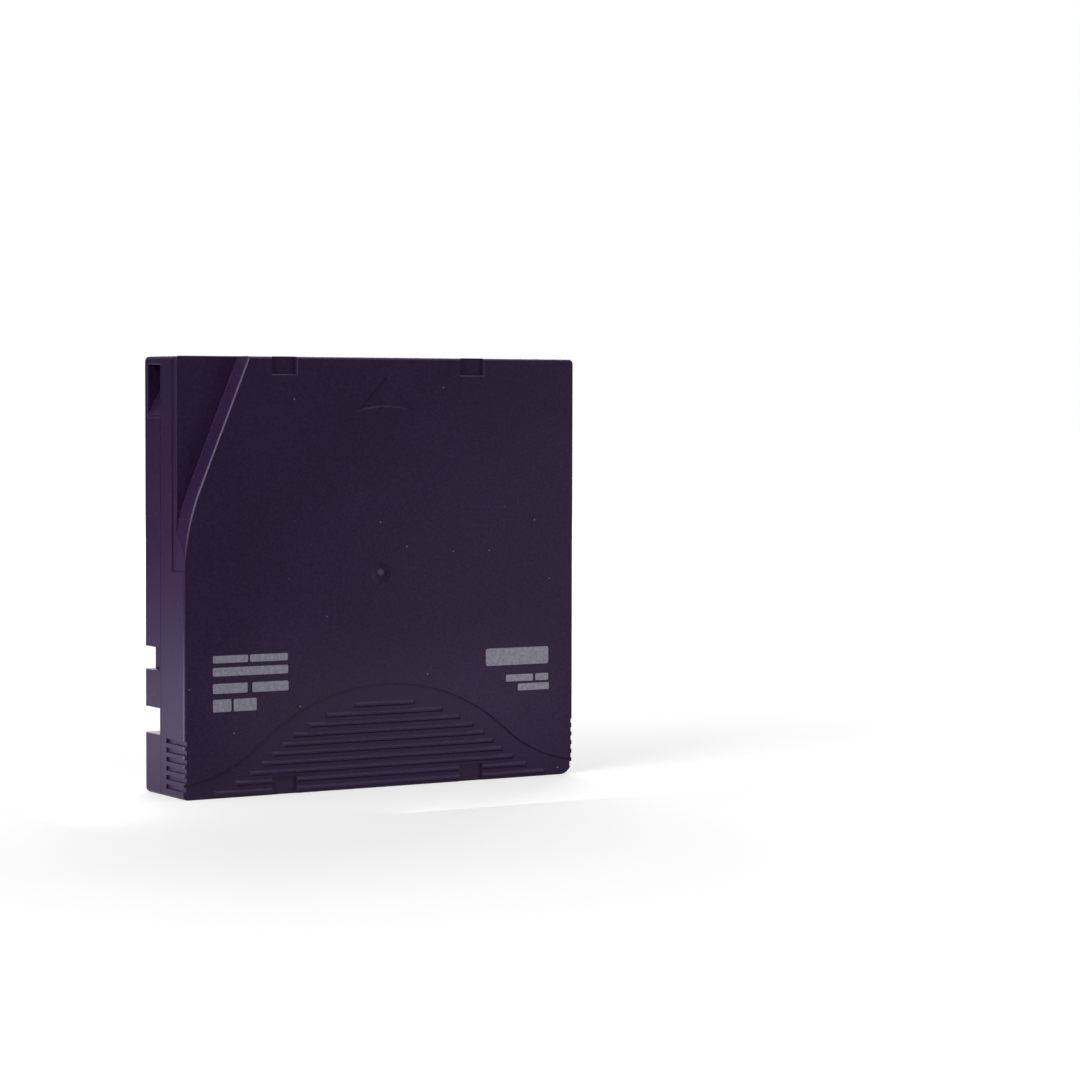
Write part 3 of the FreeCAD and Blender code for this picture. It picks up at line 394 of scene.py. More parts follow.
class Windings(EffectGroup):
    """Edges of wound layers: rings about the reel's axis, uneven as a wound pack is."""

    title = "windings"
    sockets_in = (("Position", "NodeSocketVector", 0.0), ("Rings", "NodeSocketFloat", 9000.0))
    sockets_out = (("Height", "NodeSocketFloat"), ("Band", "NodeSocketFloat"))

    def fill(self, tree: Tree, source: bpy.types.Node, sink: bpy.types.Node) -> None:
        """Noise of one dimension on the distance from the axis, in a fine and a coarse size.

        Args:
            tree: The group's tree.
            source: Its input node.
            sink: Its output node.
        """
        flat = tree.add("ShaderNodeVectorMath", operation="MULTIPLY")
        flat.inputs[1].default_value = (1.0, 0.0, 1.0)
        tree.join(source.outputs["Position"], flat.inputs[0])
        away = tree.add("ShaderNodeVectorMath", operation="LENGTH")
        tree.join(flat.outputs[0], away.inputs[0])
        layers = tree.add("ShaderNodeTexNoise", {"Detail": 1.0}, noise_dimensions="1D")
        bands = tree.add("ShaderNodeTexNoise", {"Scale": 420.0, "Detail": 2.0}, noise_dimensions="1D")
        tree.join(away.outputs["Value"], layers.inputs["W"])
        tree.join(away.outputs["Value"], bands.inputs["W"])
        tree.join(source.outputs["Rings"], layers.inputs["Scale"])
        tree.join(layers.outputs["Fac"], sink.inputs["Height"])
        tree.join(tree.spread(bands.outputs["Fac"], 0.3, 0.7, 0.0, 1.0), sink.inputs["Band"])


@dataclass
class Effects:
    """The node groups that the finishes share."""

    grain: MouldGrain = field(default_factory=MouldGrain)
    dust: DustSpecks = field(default_factory=DustSpecks)
    edges: EdgeWearAndHighlight = field(default_factory=EdgeWearAndHighlight)
    scar: GateScar = field(default_factory=GateScar)
    lay: MetalLay = field(default_factory=MetalLay)
    windings: Windings = field(default_factory=Windings)


# ---------------------------------------------------------------- finishes

def new_material(name: str) -> tuple[bpy.types.Material, Tree, bpy.types.Node, bpy.types.Node]:
    """Start a material with a Principled shader and Object coordinates.

    Args:
        name: The material's name.

    Returns:
        The material, its tree, its shader and its Texture Coordinate node.
    """
    material = bpy.data.materials.new(name)
    material.use_nodes = True
    tree = Tree(material.node_tree)
    shader = next(n for n in material.node_tree.nodes if n.type == "BSDF_PRINCIPLED")
    return material, tree, shader, tree.add("ShaderNodeTexCoord")


class Finish(Protocol):
    """Anything that has a name and can build its material."""

    name: str

    def make(self, effects: Effects) -> bpy.types.Material:
        """Build the material."""
        ...


@dataclass(frozen=True)
class MouldedPlastic:
    """Injection-moulded plastic, from sparked matt to polished. The radii are in millimetres."""

    name: str
    colour: Colour
    roughness: float = 0.5
    specular: float = 0.4
    grain: Grain = Grain.SPARKED
    mottle: float = 0.12
    dust: float = 0.0
    edge_wear_and_highlight: float = 0.0
    coat: float = 0.0
    edge_radius: float = 0.15
    sheen_tint: Colour = (1.0, 1.0, 1.0)
    scar: Spot | None = None
    scar_radius: float = 1.05
    scar_colour: Colour = (0.11, 0.095, 0.15)
    dust_colour: Colour = (0.30, 0.27, 0.33)
    dust_spacing: float = 700.0
    fleck_share: float = 0.65
    # Colour of the paled edges: partly real wear, partly a painted highlight where edges catch the light.
    worn_lit_edge_gain: float = 2.1
    worn_lit_edge_lift: float = 0.006
    worn_lit_edge_gloss: float = 0.12

    def make(self, effects: Effects) -> bpy.types.Material:
        """Build the material.

        Args:
            effects: The shared node groups.

        Returns:
            The material.
        """
        material, tree, shader, place = new_material(self.name)
        size, depth = self.grain.value
        position = place.outputs["Object"]
        grain = effects.grain.place(tree, {"Position": position, "Fineness": 1.0 / (size * MM)})
        shade = tree.maths("MULTIPLY_ADD", grain.outputs["Cloud"], 1.0 - self.fleck_share,
                           tree.maths("MULTIPLY", grain.outputs["Fleck"], self.fleck_share))
        darker = tuple(c * (1.0 - self.mottle) for c in self.colour)
        paler = tuple(c * (1.0 + self.mottle) for c in self.colour)
        colour = tree.blend(shade, darker, paler)
        roughness = tree.spread(grain.outputs["Cloud"], 0.0, 1.0,
                                self.roughness - 0.03, self.roughness + 0.03)
        # Edges made paler and glossier: partly real wear, partly a painted highlight along every edge.
        if self.edge_wear_and_highlight > 0.0:
            worn_lit_edge = effects.edges.place(tree, {"Position": position, "Radius": 2.0 * self.edge_radius * MM})
            worn_lit_edge_colour = tuple(min(1.0, c * self.worn_lit_edge_gain + self.worn_lit_edge_lift) for c in self.colour)
            share = tree.maths("MULTIPLY", worn_lit_edge.outputs["Mask"], self.edge_wear_and_highlight)
            colour = tree.blend(share, colour, worn_lit_edge_colour)
            roughness = tree.maths("MULTIPLY_ADD", share, -self.worn_lit_edge_gloss, roughness)
        if self.scar is not None:
            torn = effects.scar.place(tree, {"Position": position, "Middle": tuple(c * MM for c in self.scar),
                                             "Radius": self.scar_radius * MM})
            colour = tree.blend(torn.outputs["Mask"], colour, self.scar_colour)
            roughness = tree.maths("MULTIPLY_ADD", torn.outputs["Mask"], 0.2, roughness)
        if self.dust > 0.0:
            specks = effects.dust.place(tree, {"Position": position, "Spacing": self.dust_spacing,
                                               "Share": self.dust})
            colour = tree.blend(specks.outputs["Mask"], colour, self.dust_colour)
        rounded = tree.add("ShaderNodeBevel", {"Radius": self.edge_radius * MM}, samples=6)
        bump = tree.add("ShaderNodeBump", {"Strength": 0.5, "Distance": depth * MM})
        tree.join(grain.outputs["Height"], bump.inputs["Height"])
        tree.join(rounded.outputs["Normal"], bump.inputs["Normal"])
        tree.join(colour, shader.inputs["Base Color"])
        tree.join(roughness, shader.inputs["Roughness"])
        tree.join(bump.outputs["Normal"], shader.inputs["Normal"])
        shader.inputs["Specular IOR Level"].default_value = self.specular
        shader.inputs["Specular Tint"].default_value = (*self.sheen_tint, 1.0)
        shader.inputs["Coat Weight"].default_value = self.coat
        shader.inputs["Coat Roughness"].default_value = 0.12
        return material


@dataclass(frozen=True)
class MilkyPlastic:
    """Natural, slightly clear plastic that lets some light through."""

    name: str
    colour: Colour
    roughness: float = 0.3
    clear: float = 0.35

    def make(self, effects: Effects) -> bpy.types.Material:
        """Build the material.

        Args:
            effects: The shared node groups.

        Returns:
            The material.
        """
        material, tree, shader, place = new_material(self.name)
        size, depth = Grain.POLISHED.value
        grain = effects.grain.place(tree, {"Position": place.outputs["Object"],
                                           "Fineness": 1.0 / (size * MM)})
        colour = tree.blend(grain.outputs["Cloud"], tuple(c * 0.94 for c in self.colour), self.colour)
        bump = tree.add("ShaderNodeBump", {"Strength": 0.3, "Distance": depth * MM})
        tree.join(grain.outputs["Height"], bump.inputs["Height"])
        tree.join(colour, shader.inputs["Base Color"])
        tree.join(bump.outputs["Normal"], shader.inputs["Normal"])
        tree.join(tree.spread(grain.outputs["Cloud"], 0.0, 1.0, self.roughness, self.roughness + 0.06),
                  shader.inputs["Roughness"])
        shader.inputs["Transmission Weight"].default_value = self.clear
        return material


@dataclass(frozen=True)
class WorkedMetal:
    """Steel with the marks of drawing, grinding or plating."""

    name: str
    colour: Colour
    roughness: float = 0.3
    lay: Lay = Lay.EVEN
    fineness: float = 6000.0
    streak: float = 0.15

    def make(self, effects: Effects) -> bpy.types.Material:
        """Build the material.

        Args:
            effects: The shared node groups.

        Returns:
            The material.
        """
        material, tree, shader, place = new_material(self.name)
        lay = effects.lay.place(tree, {"Position": place.outputs["Object"], "Stretch": self.lay.value,
                                       "Fineness": self.fineness})
        darker = tuple(c * (1.0 - self.streak) for c in self.colour)
        colour = tree.blend(lay.outputs["Streak"], darker, self.colour)
        bump = tree.add("ShaderNodeBump", {"Strength": 0.35, "Distance": 0.003 * MM})
        tree.join(lay.outputs["Height"], bump.inputs["Height"])
        tree.join(colour, shader.inputs["Base Color"])
        tree.join(bump.outputs["Normal"], shader.inputs["Normal"])
        tree.join(tree.spread(lay.outputs["Streak"], 0.0, 1.0, self.roughness + 0.1, self.roughness),
                  shader.inputs["Roughness"])
        shader.inputs["Metallic"].default_value = 1.0
        return material


@dataclass(frozen=True)
class WoundTape:
    """The edge of the wound tape, or the smooth film of its leader."""

    name: str
    colour: Colour
    roughness: float = 0.35
    centre: Spot = (-1.3, 0.0, 51.0)
    ring_depth: float = 0.01

    def make(self, effects: Effects) -> bpy.types.Material:
        """Build the material, its rings centred on the reel's axis by a Mapping node.

        Args:
            effects: The shared node groups.

        Returns:
            The material.
        """
        material, tree, shader, place = new_material(self.name)
        centred = tree.add("ShaderNodeMapping")
        centred.inputs["Location"].default_value = tuple(-c * MM for c in self.centre)
        tree.join(place.outputs["Object"], centred.inputs["Vector"])
        rings = effects.windings.place(tree, {"Position": centred.outputs["Vector"]})
        colour = tree.blend(rings.outputs["Band"], tuple(c * 0.75 for c in self.colour), self.colour)
        bump = tree.add("ShaderNodeBump", {"Strength": 0.4, "Distance": self.ring_depth * MM})
        tree.join(rings.outputs["Height"], bump.inputs["Height"])
        tree.join(colour, shader.inputs["Base Color"])
        tree.join(bump.outputs["Normal"], shader.inputs["Normal"])
        tree.join(tree.spread(rings.outputs["Band"], 0.0, 1.0, self.roughness, self.roughness + 0.12),
                  shader.inputs["Roughness"])
        return material


@dataclass(frozen=True)
class PadInk:
    """Pale pad-printed ink, a little uneven in cover."""

    name: str = "pad_ink"
    colour: Colour = (0.34, 0.33, 0.41)
    thin: Colour = (0.23, 0.22, 0.29)

    def make(self, effects: Effects) -> bpy.types.Material:
        """Build the material.

        Args:
            effects: The shared node groups.

        Returns:
            The material.
        """
        material, tree, shader, place = new_material(self.name)
        grain = effects.grain.place(tree, {"Position": place.outputs["Object"], "Fineness": 2600.0})
        colour = tree.blend(grain.outputs["Fleck"], self.thin, self.colour)
        bump = tree.add("ShaderNodeBump", {"Strength": 0.4, "Distance": 0.006 * MM})
        tree.join(grain.outputs["Height"], bump.inputs["Height"])
        tree.join(colour, shader.inputs["Base Color"])
        tree.join(bump.outputs["Normal"], shader.inputs["Normal"])
        tree.join(tree.spread(grain.outputs["Cloud"], 0.0, 1.0, 0.45, 0.55), shader.inputs["Roughness"])
        return material


# The edge amount in these finishes pales edges: partly wear, partly painted highlight.
CASE_PLASTIC = MouldedPlastic("case_violet", (0.0252, 0.0107, 0.0462), roughness=0.38, specular=0.42,
                              mottle=0.34, dust=0.012, edge_wear_and_highlight=0.4, edge_radius=0.14,
                              sheen_tint=(0.88, 0.74, 1.0), scar=(-1.4, -10.2, 51.2))
DOOR_PLASTIC = MouldedPlastic("door_black", (0.012, 0.010, 0.014), roughness=0.45, mottle=0.08, edge_wear_and_highlight=0.3)
SWITCH_PLASTIC = MouldedPlastic("switch_red", (0.42, 0.03, 0.02), roughness=0.38, grain=Grain.SATIN,
                                mottle=0.05, edge_wear_and_highlight=0.25)
HUB_PLASTIC = MouldedPlastic("hub_white", (0.72, 0.72, 0.69), roughness=0.32, grain=Grain.SATIN,
                             mottle=0.03, edge_radius=0.1)
BRAKE_PLASTIC = MouldedPlastic("brake_grey", (0.05, 0.05, 0.058), roughness=0.4, grain=Grain.SATIN,
                               mottle=0.08)
PAD_PLASTIC = MouldedPlastic("pad_cream", (0.66, 0.64, 0.56), roughness=0.36, grain=Grain.SATIN,
                             mottle=0.04)
CHIP_RESIN = MouldedPlastic("chip_black", (0.014, 0.014, 0.015), roughness=0.55, mottle=0.12,
                            edge_radius=0.05)
BOARD_RESIST = MouldedPlastic("board_green", (0.012, 0.09, 0.035), roughness=0.3, grain=Grain.POLISHED,
                              mottle=0.15, coat=0.4, edge_radius=0.05)
FLANGE_PLASTIC = MilkyPlastic("flange_clear", (0.80, 0.83, 0.85))
SCREW_ZINC = WorkedMetal("screw_zinc", (0.60, 0.61, 0.64), roughness=0.34, fineness=2500.0)
SPRING_WIRE = WorkedMetal("spring_wire", (0.50, 0.50, 0.52), roughness=0.28, lay=Lay.ALONG_Y)
PIN_STEEL = WorkedMetal("pin_steel", (0.72, 0.72, 0.74), roughness=0.14, lay=Lay.ALONG_X, streak=0.08)
TAPE_EDGE = WoundTape("tape_edge", (0.020, 0.013, 0.011))
LEADER_FILM = WoundTape("leader_film", (0.20, 0.21, 0.23), roughness=0.22, ring_depth=0.002)
PRINT_INK = PadInk()


# ---------------------------------------------------------------- surfaces

def grid_faces(rows: int, around: int) -> Faces:
    """Quads between rows of points that close on themselves.

    The point at row i and place j has number i * around + j, and each quad joins j to the next
    place, with the last place followed by the first.

    Args:
        rows: Number of rows.
        around: Points in each row.

    Returns:
        One row of four point numbers for each quad.
    """
    i, j = np.meshgrid(np.arange(rows - 1), np.arange(around), indexing="ij")
    following = (j + 1) % around
    corners = (i * around + j, (i + 1) * around + j, (i + 1) * around + following, i * around + following)
    return np.stack([c.ravel() for c in corners], axis=1)


def capped_tube(rows: Floats, start: Floats, end: Floats) -> tuple[Floats, Faces, Faces]:
    """Join closed rows of points into one surface, each end fanned in to a middle point.

    Args:
        rows: Points, by row and by place in the row.
        start: Middle point of the first row.
        end: Middle point of the last row.

    Returns:
        Points, quads and triangles.
    """
    count, around = rows.shape[:2]
    points = np.concatenate([rows.reshape(-1, 3), start[None, :], end[None, :]])
    j = np.arange(around)
    following = (j + 1) % around
    last = (count - 1) * around
    first_cap = np.stack([np.full(around, len(points) - 2), j, following], axis=1)
    last_cap = np.stack([np.full(around, len(points) - 1), last + following, last + j], axis=1)
    return points, grid_faces(count, around), np.concatenate([first_cap, last_cap])


def mesh_object(name: str, points: Floats, quads: Faces, triangles: Faces) -> bpy.types.Object:
    """Make an object at the origin whose mesh holds these faces.

    Args:
        name: The piece's name.
        points: Points in millimetres, one row each.
        quads: Four point numbers a row.
        triangles: Three point numbers a row.

    Returns:
        The object, linked to the scene.
    """
    mesh = bpy.data.meshes.new(name)
    mesh.from_pydata((points * MM).tolist(), [], quads.tolist() + triangles.tolist())
    mesh.update()
    piece = bpy.data.objects.new(name, mesh)
    bpy.context.scene.collection.objects.link(piece)
    return piece


@dataclass(frozen=True)
class Mark:
    """One printed bar: its middle on X and Z, its width and height, and its corners' radius."""

    x: float
    z: float
    width: float
    height: float
    radius: float = 0.35


@dataclass
class PrintedMarks:
    """Plain bars where a maker would print words, in two columns on the top side."""

    face_y: float = -10.75
    thick: float = 0.02
    sunk: float = 0.03
    rim: float = 0.05
    straight: float = 0.6
    steps: int = 8
    marks: tuple[Mark, ...] = (
        Mark(-40.9, 32.2, 9.0, 1.7), Mark(-31.0, 32.2, 9.8, 1.7),
        Mark(-35.7, 29.3, 19.4, 2.0),
        Mark(-40.95, 25.45, 8.9, 2.3), Mark(-30.6, 25.45, 9.4, 2.3),
        Mark(-43.05, 21.5, 4.7, 2.9), Mark(-37.15, 21.5, 5.9, 2.9),
        Mark(36.6, 29.75, 17.8, 4.2, 0.6),
        Mark(37.25, 24.45, 7.7, 1.7), Mark(43.65, 24.45, 3.7, 1.7),
        Mark(41.25, 22.15, 8.9, 1.7),
    )

    def outline(self, mark: Mark, inset: float) -> Floats:
        """Points round a rectangle with round corners, moved in by an inset.

        Each corner is a quarter circle: its middle, at the half sizes less the radius, plus the
        radius times the cosine and sine of an angle that runs on from corner to corner.

        Args:
            mark: The mark.
            inset: Distance by which its edge moves in.

        Returns:
            One (x, z) row for each point, anticlockwise from the right.
        """
        radius = max(mark.radius - inset, 0.02)
        quarter = np.linspace(0.0, math.pi / 2, self.steps)
        turns = np.concatenate([quarter + k * math.pi / 2 for k in range(4)])
        signs = np.repeat(np.array([(1, 1), (-1, 1), (-1, -1), (1, -1)], float), self.steps, axis=0)
        half = np.array([mark.width / 2 - inset - radius, mark.height / 2 - inset - radius])
        ring = np.stack([np.cos(turns), np.sin(turns)], axis=1) * radius
        return np.array([mark.x, mark.z]) + signs * half + ring

    def slab(self, mark: Mark) -> tuple[Floats, Faces, Faces]:
        """One bar as a closed thin slab with a softened rim.

        Rows of the outline go from the sunk underside up to the rim, which falls away over the
        ink's thickness, and both ends close on a middle point.

        Args:
            mark: The mark.

        Returns:
            Points, quads and triangles.
        """
        levels = ((0.0, self.sunk), (0.0, 0.0), (0.0, -self.straight * self.thick), (self.rim, -self.thick))
        rows = np.stack([np.insert(self.outline(mark, inset), 1, self.face_y + depth, axis=1)
                         for inset, depth in levels])
        under = np.array([mark.x, self.face_y + self.sunk, mark.z])
        over = np.array([mark.x, self.face_y - self.thick, mark.z])
        return capped_tube(rows, under, over)

    def build(self, material: bpy.types.Material) -> bpy.types.Object:
        """Make the marks as one piece that rides on the case.

        Args:
            material: The ink.

        Returns:
            The piece.
        """
        points, quads, triangles, start = [], [], [], 0
        for mark in self.marks:
            p, q, t = self.slab(mark)
            points.append(p)
            quads.append(q + start)
            triangles.append(t + start)
            start += len(p)
        piece = mesh_object("printed_marks", np.concatenate(points), np.concatenate(quads),
                            np.concatenate(triangles))
        piece.data.materials.append(material)
        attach(piece, Body.CASE.value)
        LOG.info("printed_marks: %d bars on %s", len(self.marks), Body.CASE.value)
        return piece


@dataclass(frozen=True)
class CoilSpring:
    """A compression spring that stands for its frame part.

    Its wire and travel are in millimetres, and along is the number of the axis that it lies on.
    """

    node: str
    joint: str
    along: int
    wire: float
    turns: int
    travel: float
    closing: float = 0.3
    steps: int = 28
    around: int = 10

    def surface(self, low: Floats, high: Floats) -> tuple[Floats, Faces, Faces]:
        """The wire, as a circle carried along a helix between two corners.

        At share s of the way the helix has turned by 2 pi times turns times s and has risen by
        s - closing * sin(2 pi s) / (2 pi) of its length, so its end turns lie closer. The circle is
        cos(phi) times the radial direction plus sin(phi) times radial cross tangent.

        Args:
            low: The spring's lowest corner.
            high: Its highest corner.

        Returns:
            Points, quads and triangles.
        """
        size = np.roll(high - low, 2 - self.along)
        middle = np.roll((low + high) / 2, 2 - self.along)
        radius, rise = (size[0] - self.wire) / 2, size[2] - self.wire
        share = np.linspace(0.0, 1.0, self.turns * self.steps + 1)
        turn = 2 * math.pi * self.turns * share
        height = rise * (share - self.closing * np.sin(2 * math.pi * share) / (2 * math.pi) - 0.5)
        radial = np.stack([np.cos(turn), np.sin(turn), np.zeros_like(turn)], axis=1)
        path = middle + radius * radial + np.outer(height, (0.0, 0.0, 1.0))
        tangent = np.gradient(path, axis=0)
        tangent /= np.linalg.norm(tangent, axis=1, keepdims=True)
        across = np.cross(radial, tangent)
        phi = np.linspace(0.0, 2 * math.pi, self.around, endpoint=False)
        ring = (np.cos(phi)[None, :, None] * radial[:, None, :]
                + np.sin(phi)[None, :, None] * across[:, None, :])
        points, quads, triangles = capped_tube(path[:, None, :] + self.wire / 2 * ring, path[0], path[-1])
        return np.roll(points, self.along - 2, axis=1), quads, triangles

    def build(self, material: bpy.types.Material) -> bpy.types.Object:
        """Make the spring on the case in place of its frame part, which is hidden.

        Args:
            material: The wire's finish.

        Returns:
            The piece.
        """
        low, high = (np.array(corner, float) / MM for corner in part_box(self.node))
        piece = mesh_object(self.node + "_coil", *self.surface(low, high))
        piece.data.materials.append(material)
        axis, anchor = np.zeros(3), (low + high) / 2 * MM
        axis[self.along] = 1.0
        anchor[self.along] = low[self.along] * MM
        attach(piece, Body.CASE.value)
        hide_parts(self.node)
        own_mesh(piece)
        LOG.info("%s: %d turns, shortened by %s", piece.name, self.turns, self.joint)
        return piece


# ---------------------------------------------------------------- sub-assemblies

@dataclass
class SubAssembly:
    """A group of the frame's parts, the finish of each, and the pieces that are added to them."""

    title: str
    finishes: dict[str, Finish]

    def dress(self, nodes: dict[str, bpy.types.Object], effects: Effects,
              made: dict[str, bpy.types.Material]) -> None:
        """Give each part its material, built once for each finish.

        Args:
            nodes: The frame's parts, by name.
            effects: The shared node groups.
            made: Materials made so far, by name.
        """
        for name, finish in self.finishes.items():
            if finish.name not in made:
                made[finish.name] = finish.make(effects)
            mesh = nodes[name].data
            for slot in range(len(mesh.materials)):
                mesh.materials[slot] = made[finish.name]
            LOG.info("%s: %s has %s", self.title, name, finish.name)

    def add_pieces(self, effects: Effects, made: dict[str, bpy.types.Material]) -> None:
        """Build the pieces that the frame doesn't hold, where there are any.

        Args:
            effects: The shared node groups.
            made: Materials made so far, by name.
        """

    def build(self, nodes: dict[str, bpy.types.Object], effects: Effects,
              made: dict[str, bpy.types.Material]) -> None:
        """Dress the parts, then build the pieces added to them.

        Args:
            nodes: The frame's parts, by name.
            effects: The shared node groups.
            made: Materials made so far, by name.
        """
        self.dress(nodes, effects, made)
        self.add_pieces(effects, made)


@dataclass
class Case(SubAssembly):
    """The two shells, the screws that hold them and the print on the top side."""

    title: str = "case"
    finishes: dict[str, Finish] = field(default_factory=lambda: {
        "upper_shell": CASE_PLASTIC, "lower_shell": CASE_PLASTIC, "case_screws": SCREW_ZINC})
    marks: PrintedMarks = field(default_factory=PrintedMarks)

    def add_pieces(self, effects: Effects, made: dict[str, bpy.types.Material]) -> None:
        """Print the marks."""
        self.marks.build(PRINT_INK.make(effects))


@dataclass
class Reel(SubAssembly):
    """The hub, its upper flange, the clutch plate and the tape on it."""

    title: str = "reel"
    finishes: dict[str, Finish] = field(default_factory=lambda: {
        "reel_hub": HUB_PLASTIC, "upper_flange": FLANGE_PLASTIC, "clutch_plate": PIN_STEEL,
        "tape_pack": TAPE_EDGE})


@dataclass
class Brake(SubAssembly):
    """The brake button, its spring, the release pad and the ball between them."""

    title: str = "brake"
    finishes: dict[str, Finish] = field(default_factory=lambda: {
        "brake_button": BRAKE_PLASTIC, "brake_spring": SPRING_WIRE, "brake_release_pad": PAD_PLASTIC,
        "thrust_ball": PIN_STEEL})
    coil: CoilSpring = CoilSpring("brake_spring", "brake_lift", along=1, wire=0.7, turns=4, travel=2.0)

    def add_pieces(self, effects: Effects, made: dict[str, bpy.types.Material]) -> None:
        """Wind the brake's spring."""
        self.coil.build(made[SPRING_WIRE.name])


@dataclass
class Leader(SubAssembly):
    """The leader pin with its clip, film and retaining spring."""

    title: str = "leader"
    finishes: dict[str, Finish] = field(default_factory=lambda: {
        "leader_pin": PIN_STEEL, "leader_clip": BRAKE_PLASTIC, "leader_tape": LEADER_FILM,
        "pin_retaining_spring": SPRING_WIRE})


@dataclass
class Controls(SubAssembly):
    """The access door and its spring, the write-protect switch and the memory board."""

    title: str = "controls"
    finishes: dict[str, Finish] = field(default_factory=lambda: {
        "access_door": DOOR_PLASTIC, "door_spring": SPRING_WIRE, "write_protect_switch": SWITCH_PLASTIC,
        "memory_board": BOARD_RESIST, "memory_chip": CHIP_RESIN})
    coil: CoilSpring = CoilSpring("door_spring", "door_slide", along=2, wire=0.3, turns=12, travel=14.0)

    def add_pieces(self, effects: Effects, made: dict[str, bpy.types.Material]) -> None:
        """Wind the door's spring."""
        self.coil.build(made[SPRING_WIRE.name])


# ---------------------------------------------------------------- studio

@dataclass(frozen=True)
class SoftBox:
    """A square-cornered area lamp: where it hangs and its size in metres, and its power in watts."""

    name: str
    place: Spot
    width: float
    height: float
    power: float
    aim: Spot = (0.0, 0.0, 0.05)


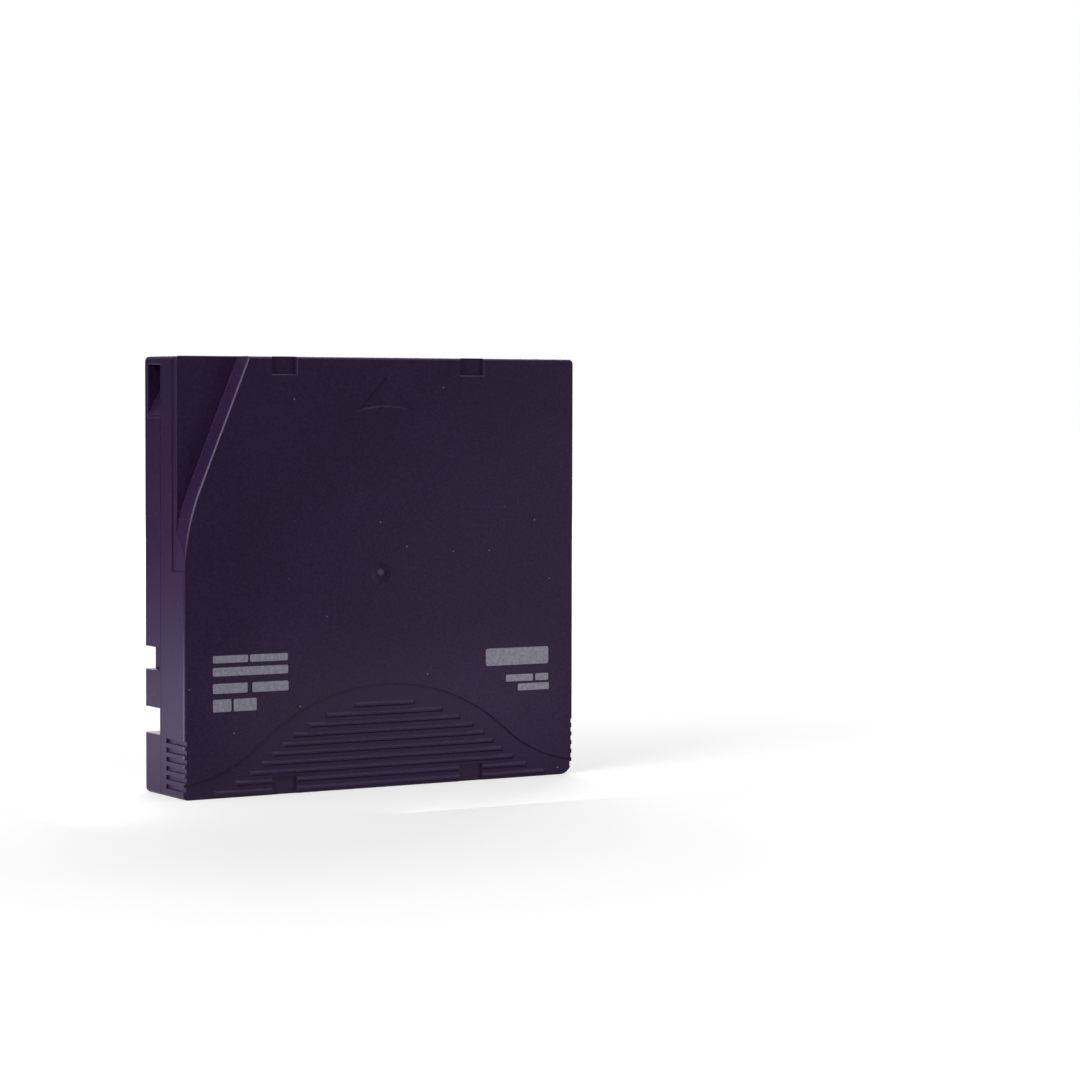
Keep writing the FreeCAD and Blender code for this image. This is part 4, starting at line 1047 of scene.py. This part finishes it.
@dataclass
class Studio:
    """Pale floor, soft lamps, plain surroundings and the camera. Lengths here are in metres."""

    aim: Spot = (0.0, 0.0, 0.05)
    floor_reach: float = 6.0
    floor_colour: Colour = (0.60, 0.60, 0.60)
    floor_near: float = 0.50
    near_reach: float = 0.1
    far_reach: float = 1.4
    patch_place: Spot = (-0.16, 0.14, 0.0)
    patch_inner: float = 0.06
    patch_outer: float = 0.28
    patch_white: float = 1.0
    patch_rest: float = 0.05
    room_fill: float = 0.10
    mirror_level: float = 0.08
    mirror_above: float = 0.7
    mirror_low: float = 0.25
    mirror_high: float = 0.85
    camera_place: Spot = (-0.364756, -0.665539, 0.092436)
    camera_turn: float = 0.557
    camera_dip: float = 0.04476
    camera_lean: float = 0.00274
    lens: float = 105.426
    lamps: tuple[SoftBox, ...] = (
        SoftBox("key_softbox", (-1.30, -0.52, 0.74), 0.8, 0.6, 13.5),
        SoftBox("top_softbox", (0.25, -0.30, 1.5), 2.2, 1.8, 7.0),
        SoftBox("low_softbox", (0.16, -0.22, 0.036), 0.12, 0.06, 0.017),
        SoftBox("front_card", (0.03, -0.055, 0.002), 0.10, 0.05, 0.008, aim=(0.03, -0.0107, 0.012)),
        SoftBox("right_card", (0.30, -0.22, 0.10), 0.15, 0.15, 0.06),
        SoftBox("left_card", (-0.095, 0.0, 0.004), 0.05, 0.05, 0.038, aim=(-0.053, 0.0, 0.02)),
        SoftBox("rear_softbox", (0.70, 1.10, 0.80), 0.9, 0.7, 14.0),
    )

    def floor(self) -> None:
        """Lay the floor: a square grid of points whose height is nought everywhere."""
        steps = np.linspace(-self.floor_reach, self.floor_reach, 9) / MM
        x, y = np.meshgrid(steps, steps, indexing="ij")
        points = np.stack([x.ravel(), y.ravel(), np.zeros(x.size)], axis=1)
        i, j = np.meshgrid(np.arange(8), np.arange(8), indexing="ij")
        first = (i * 9 + j).ravel()
        quads = np.stack([first, first + 9, first + 10, first + 1], axis=1)
        sheet = mesh_object("studio_floor", points, quads, np.zeros((0, 3), int))
        sheet.data.materials.append(self.floor_material())

    def floor_material(self) -> bpy.types.Material:
        """Pale matt floor, white to the camera away from the cartridge, with its shadow kept.

        The white that the camera sees grows with the distance from the aim, and the white seen in
        reflections fades with the distance from a lit patch behind the cartridge.

        Returns:
            The material.
        """
        material = bpy.data.materials.new("studio_floor")
        material.use_nodes = True
        tree = Tree(material.node_tree)
        material.node_tree.nodes.clear()
        out = tree.add("ShaderNodeOutputMaterial")
        matt = tree.add("ShaderNodeBsdfDiffuse", {"Color": (*self.floor_colour, 1.0)})
        place = tree.add("ShaderNodeTexCoord")
        away = tree.add("ShaderNodeVectorMath", {1: self.aim}, operation="DISTANCE")
        patch = tree.add("ShaderNodeVectorMath", {1: self.patch_place}, operation="DISTANCE")
        for gauge in (away, patch):
            tree.join(place.outputs["Object"], gauge.inputs[0])
        shown = tree.spread(away.outputs["Value"], self.near_reach, self.far_reach,
                            self.floor_near, 1.0)
        mirrored = tree.spread(patch.outputs["Value"], self.patch_inner, self.patch_outer,
                               self.patch_white, self.patch_rest)
        path = tree.add("ShaderNodeLightPath")
        turned = tree.maths("MAXIMUM", path.outputs["Is Glossy Ray"], path.outputs["Is Transmission Ray"])
        strength = tree.maths("ADD", tree.maths("MULTIPLY", path.outputs["Is Camera Ray"], shown),
                              tree.maths("MULTIPLY", turned, mirrored))
        lit = tree.add("ShaderNodeEmission", {"Color": (1.0, 1.0, 1.0, 1.0)})
        tree.join(strength, lit.inputs["Strength"])
        both = tree.add("ShaderNodeAddShader")
        alone = tree.add("ShaderNodeMixShader")
        tree.join(matt.outputs[0], both.inputs[0])
        tree.join(lit.outputs[0], both.inputs[1])
        tree.join(turned, alone.inputs[0])
        tree.join(both.outputs[0], alone.inputs[1])
        tree.join(lit.outputs[0], alone.inputs[2])
        tree.join(alone.outputs[0], out.inputs["Surface"])
        return material

    def surroundings(self) -> None:
        """An even grey room, white to the camera, with its own level in reflections."""
        world = bpy.data.worlds.new("studio_room")
        bpy.context.scene.world = world
        world.use_nodes = True
        tree = Tree(world.node_tree)
        world.node_tree.nodes.clear()
        out = tree.add("ShaderNodeOutputWorld")
        room = tree.add("ShaderNodeBackground", {"Color": (1.0, 1.0, 1.0, 1.0)})
        place = tree.add("ShaderNodeTexCoord")
        axes = tree.add("ShaderNodeSeparateXYZ")
        tree.join(place.outputs["Generated"], axes.inputs[0])
        shown = tree.spread(axes.outputs["Z"], self.mirror_low, self.mirror_high,
                            self.mirror_level, self.mirror_above)
        path = tree.add("ShaderNodeLightPath")
        turned = tree.maths("MAXIMUM", path.outputs["Is Glossy Ray"], path.outputs["Is Transmission Ray"])
        plain = tree.maths("SUBTRACT", 1.0, tree.maths("ADD", turned, path.outputs["Is Camera Ray"]),
                           clamp=True)
        strength = tree.maths("ADD", path.outputs["Is Camera Ray"],
                              tree.maths("ADD", tree.maths("MULTIPLY", turned, shown),
                                         tree.maths("MULTIPLY", plain, self.room_fill)))
        tree.join(strength, room.inputs["Strength"])
        tree.join(room.outputs[0], out.inputs["Surface"])

    def hang(self, lamp: SoftBox) -> None:
        """Hang a soft box and turn its face to the cartridge.

        Args:
            lamp: The lamp.
        """
        light = bpy.data.lights.new(lamp.name, "AREA")
        light.shape = "RECTANGLE"
        light.size, light.size_y = lamp.width, lamp.height
        light.energy = lamp.power
        holder = bpy.data.objects.new(lamp.name, light)
        holder.location = lamp.place
        towards = Vector(lamp.aim) - Vector(lamp.place)
        holder.rotation_euler = towards.to_track_quat("-Z", "Y").to_euler()
        holder.visible_camera = False
        bpy.context.scene.collection.objects.link(holder)

    def camera(self) -> None:
        """Set the camera: turned from +Y towards +X, dipped below level and leaned about its own axis."""
        turn, dip, lean = self.camera_turn, self.camera_dip, self.camera_lean
        ahead = Vector((math.sin(turn) * math.cos(dip), math.cos(turn) * math.cos(dip), -math.sin(dip)))
        right = Vector((math.cos(turn), -math.sin(turn), 0.0))
        above = right.cross(ahead)
        side = math.cos(lean) * right + math.sin(lean) * above
        top = -math.sin(lean) * right + math.cos(lean) * above
        turned = Matrix((side, top, -ahead)).transposed()
        data = bpy.data.cameras.new("studio_camera")
        data.lens = self.lens
        data.sensor_width = 36.0
        data.clip_start, data.clip_end = 0.02, 40.0
        holder = bpy.data.objects.new("studio_camera", data)
        holder.matrix_world = Matrix.Translation(self.camera_place) @ turned.to_4x4()
        bpy.context.scene.collection.objects.link(holder)
        bpy.context.scene.camera = holder

    def build(self) -> None:
        """Set up everything that isn't the cartridge."""
        self.floor()
        self.surroundings()
        for lamp in self.lamps:
            self.hang(lamp)
        self.camera()
        bpy.context.scene.view_settings.view_transform = "Standard"
        LOG.info("studio: floor, %d lamps and camera", len(self.lamps))


# ---------------------------------------------------------------- main


def main() -> None:
    """Load the frame, build each sub-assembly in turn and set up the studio."""
    logging.basicConfig(level=logging.INFO, format="%(name)s %(message)s")
    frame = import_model()
    nodes = frame["nodes"]
    effects = Effects()
    made: dict[str, bpy.types.Material] = {}
    for sub in (Case(), Reel(), Brake(), Leader(), Controls()):
        sub.build(nodes, effects, made)
    Studio().build()


if __name__ == "__main__":
    main()
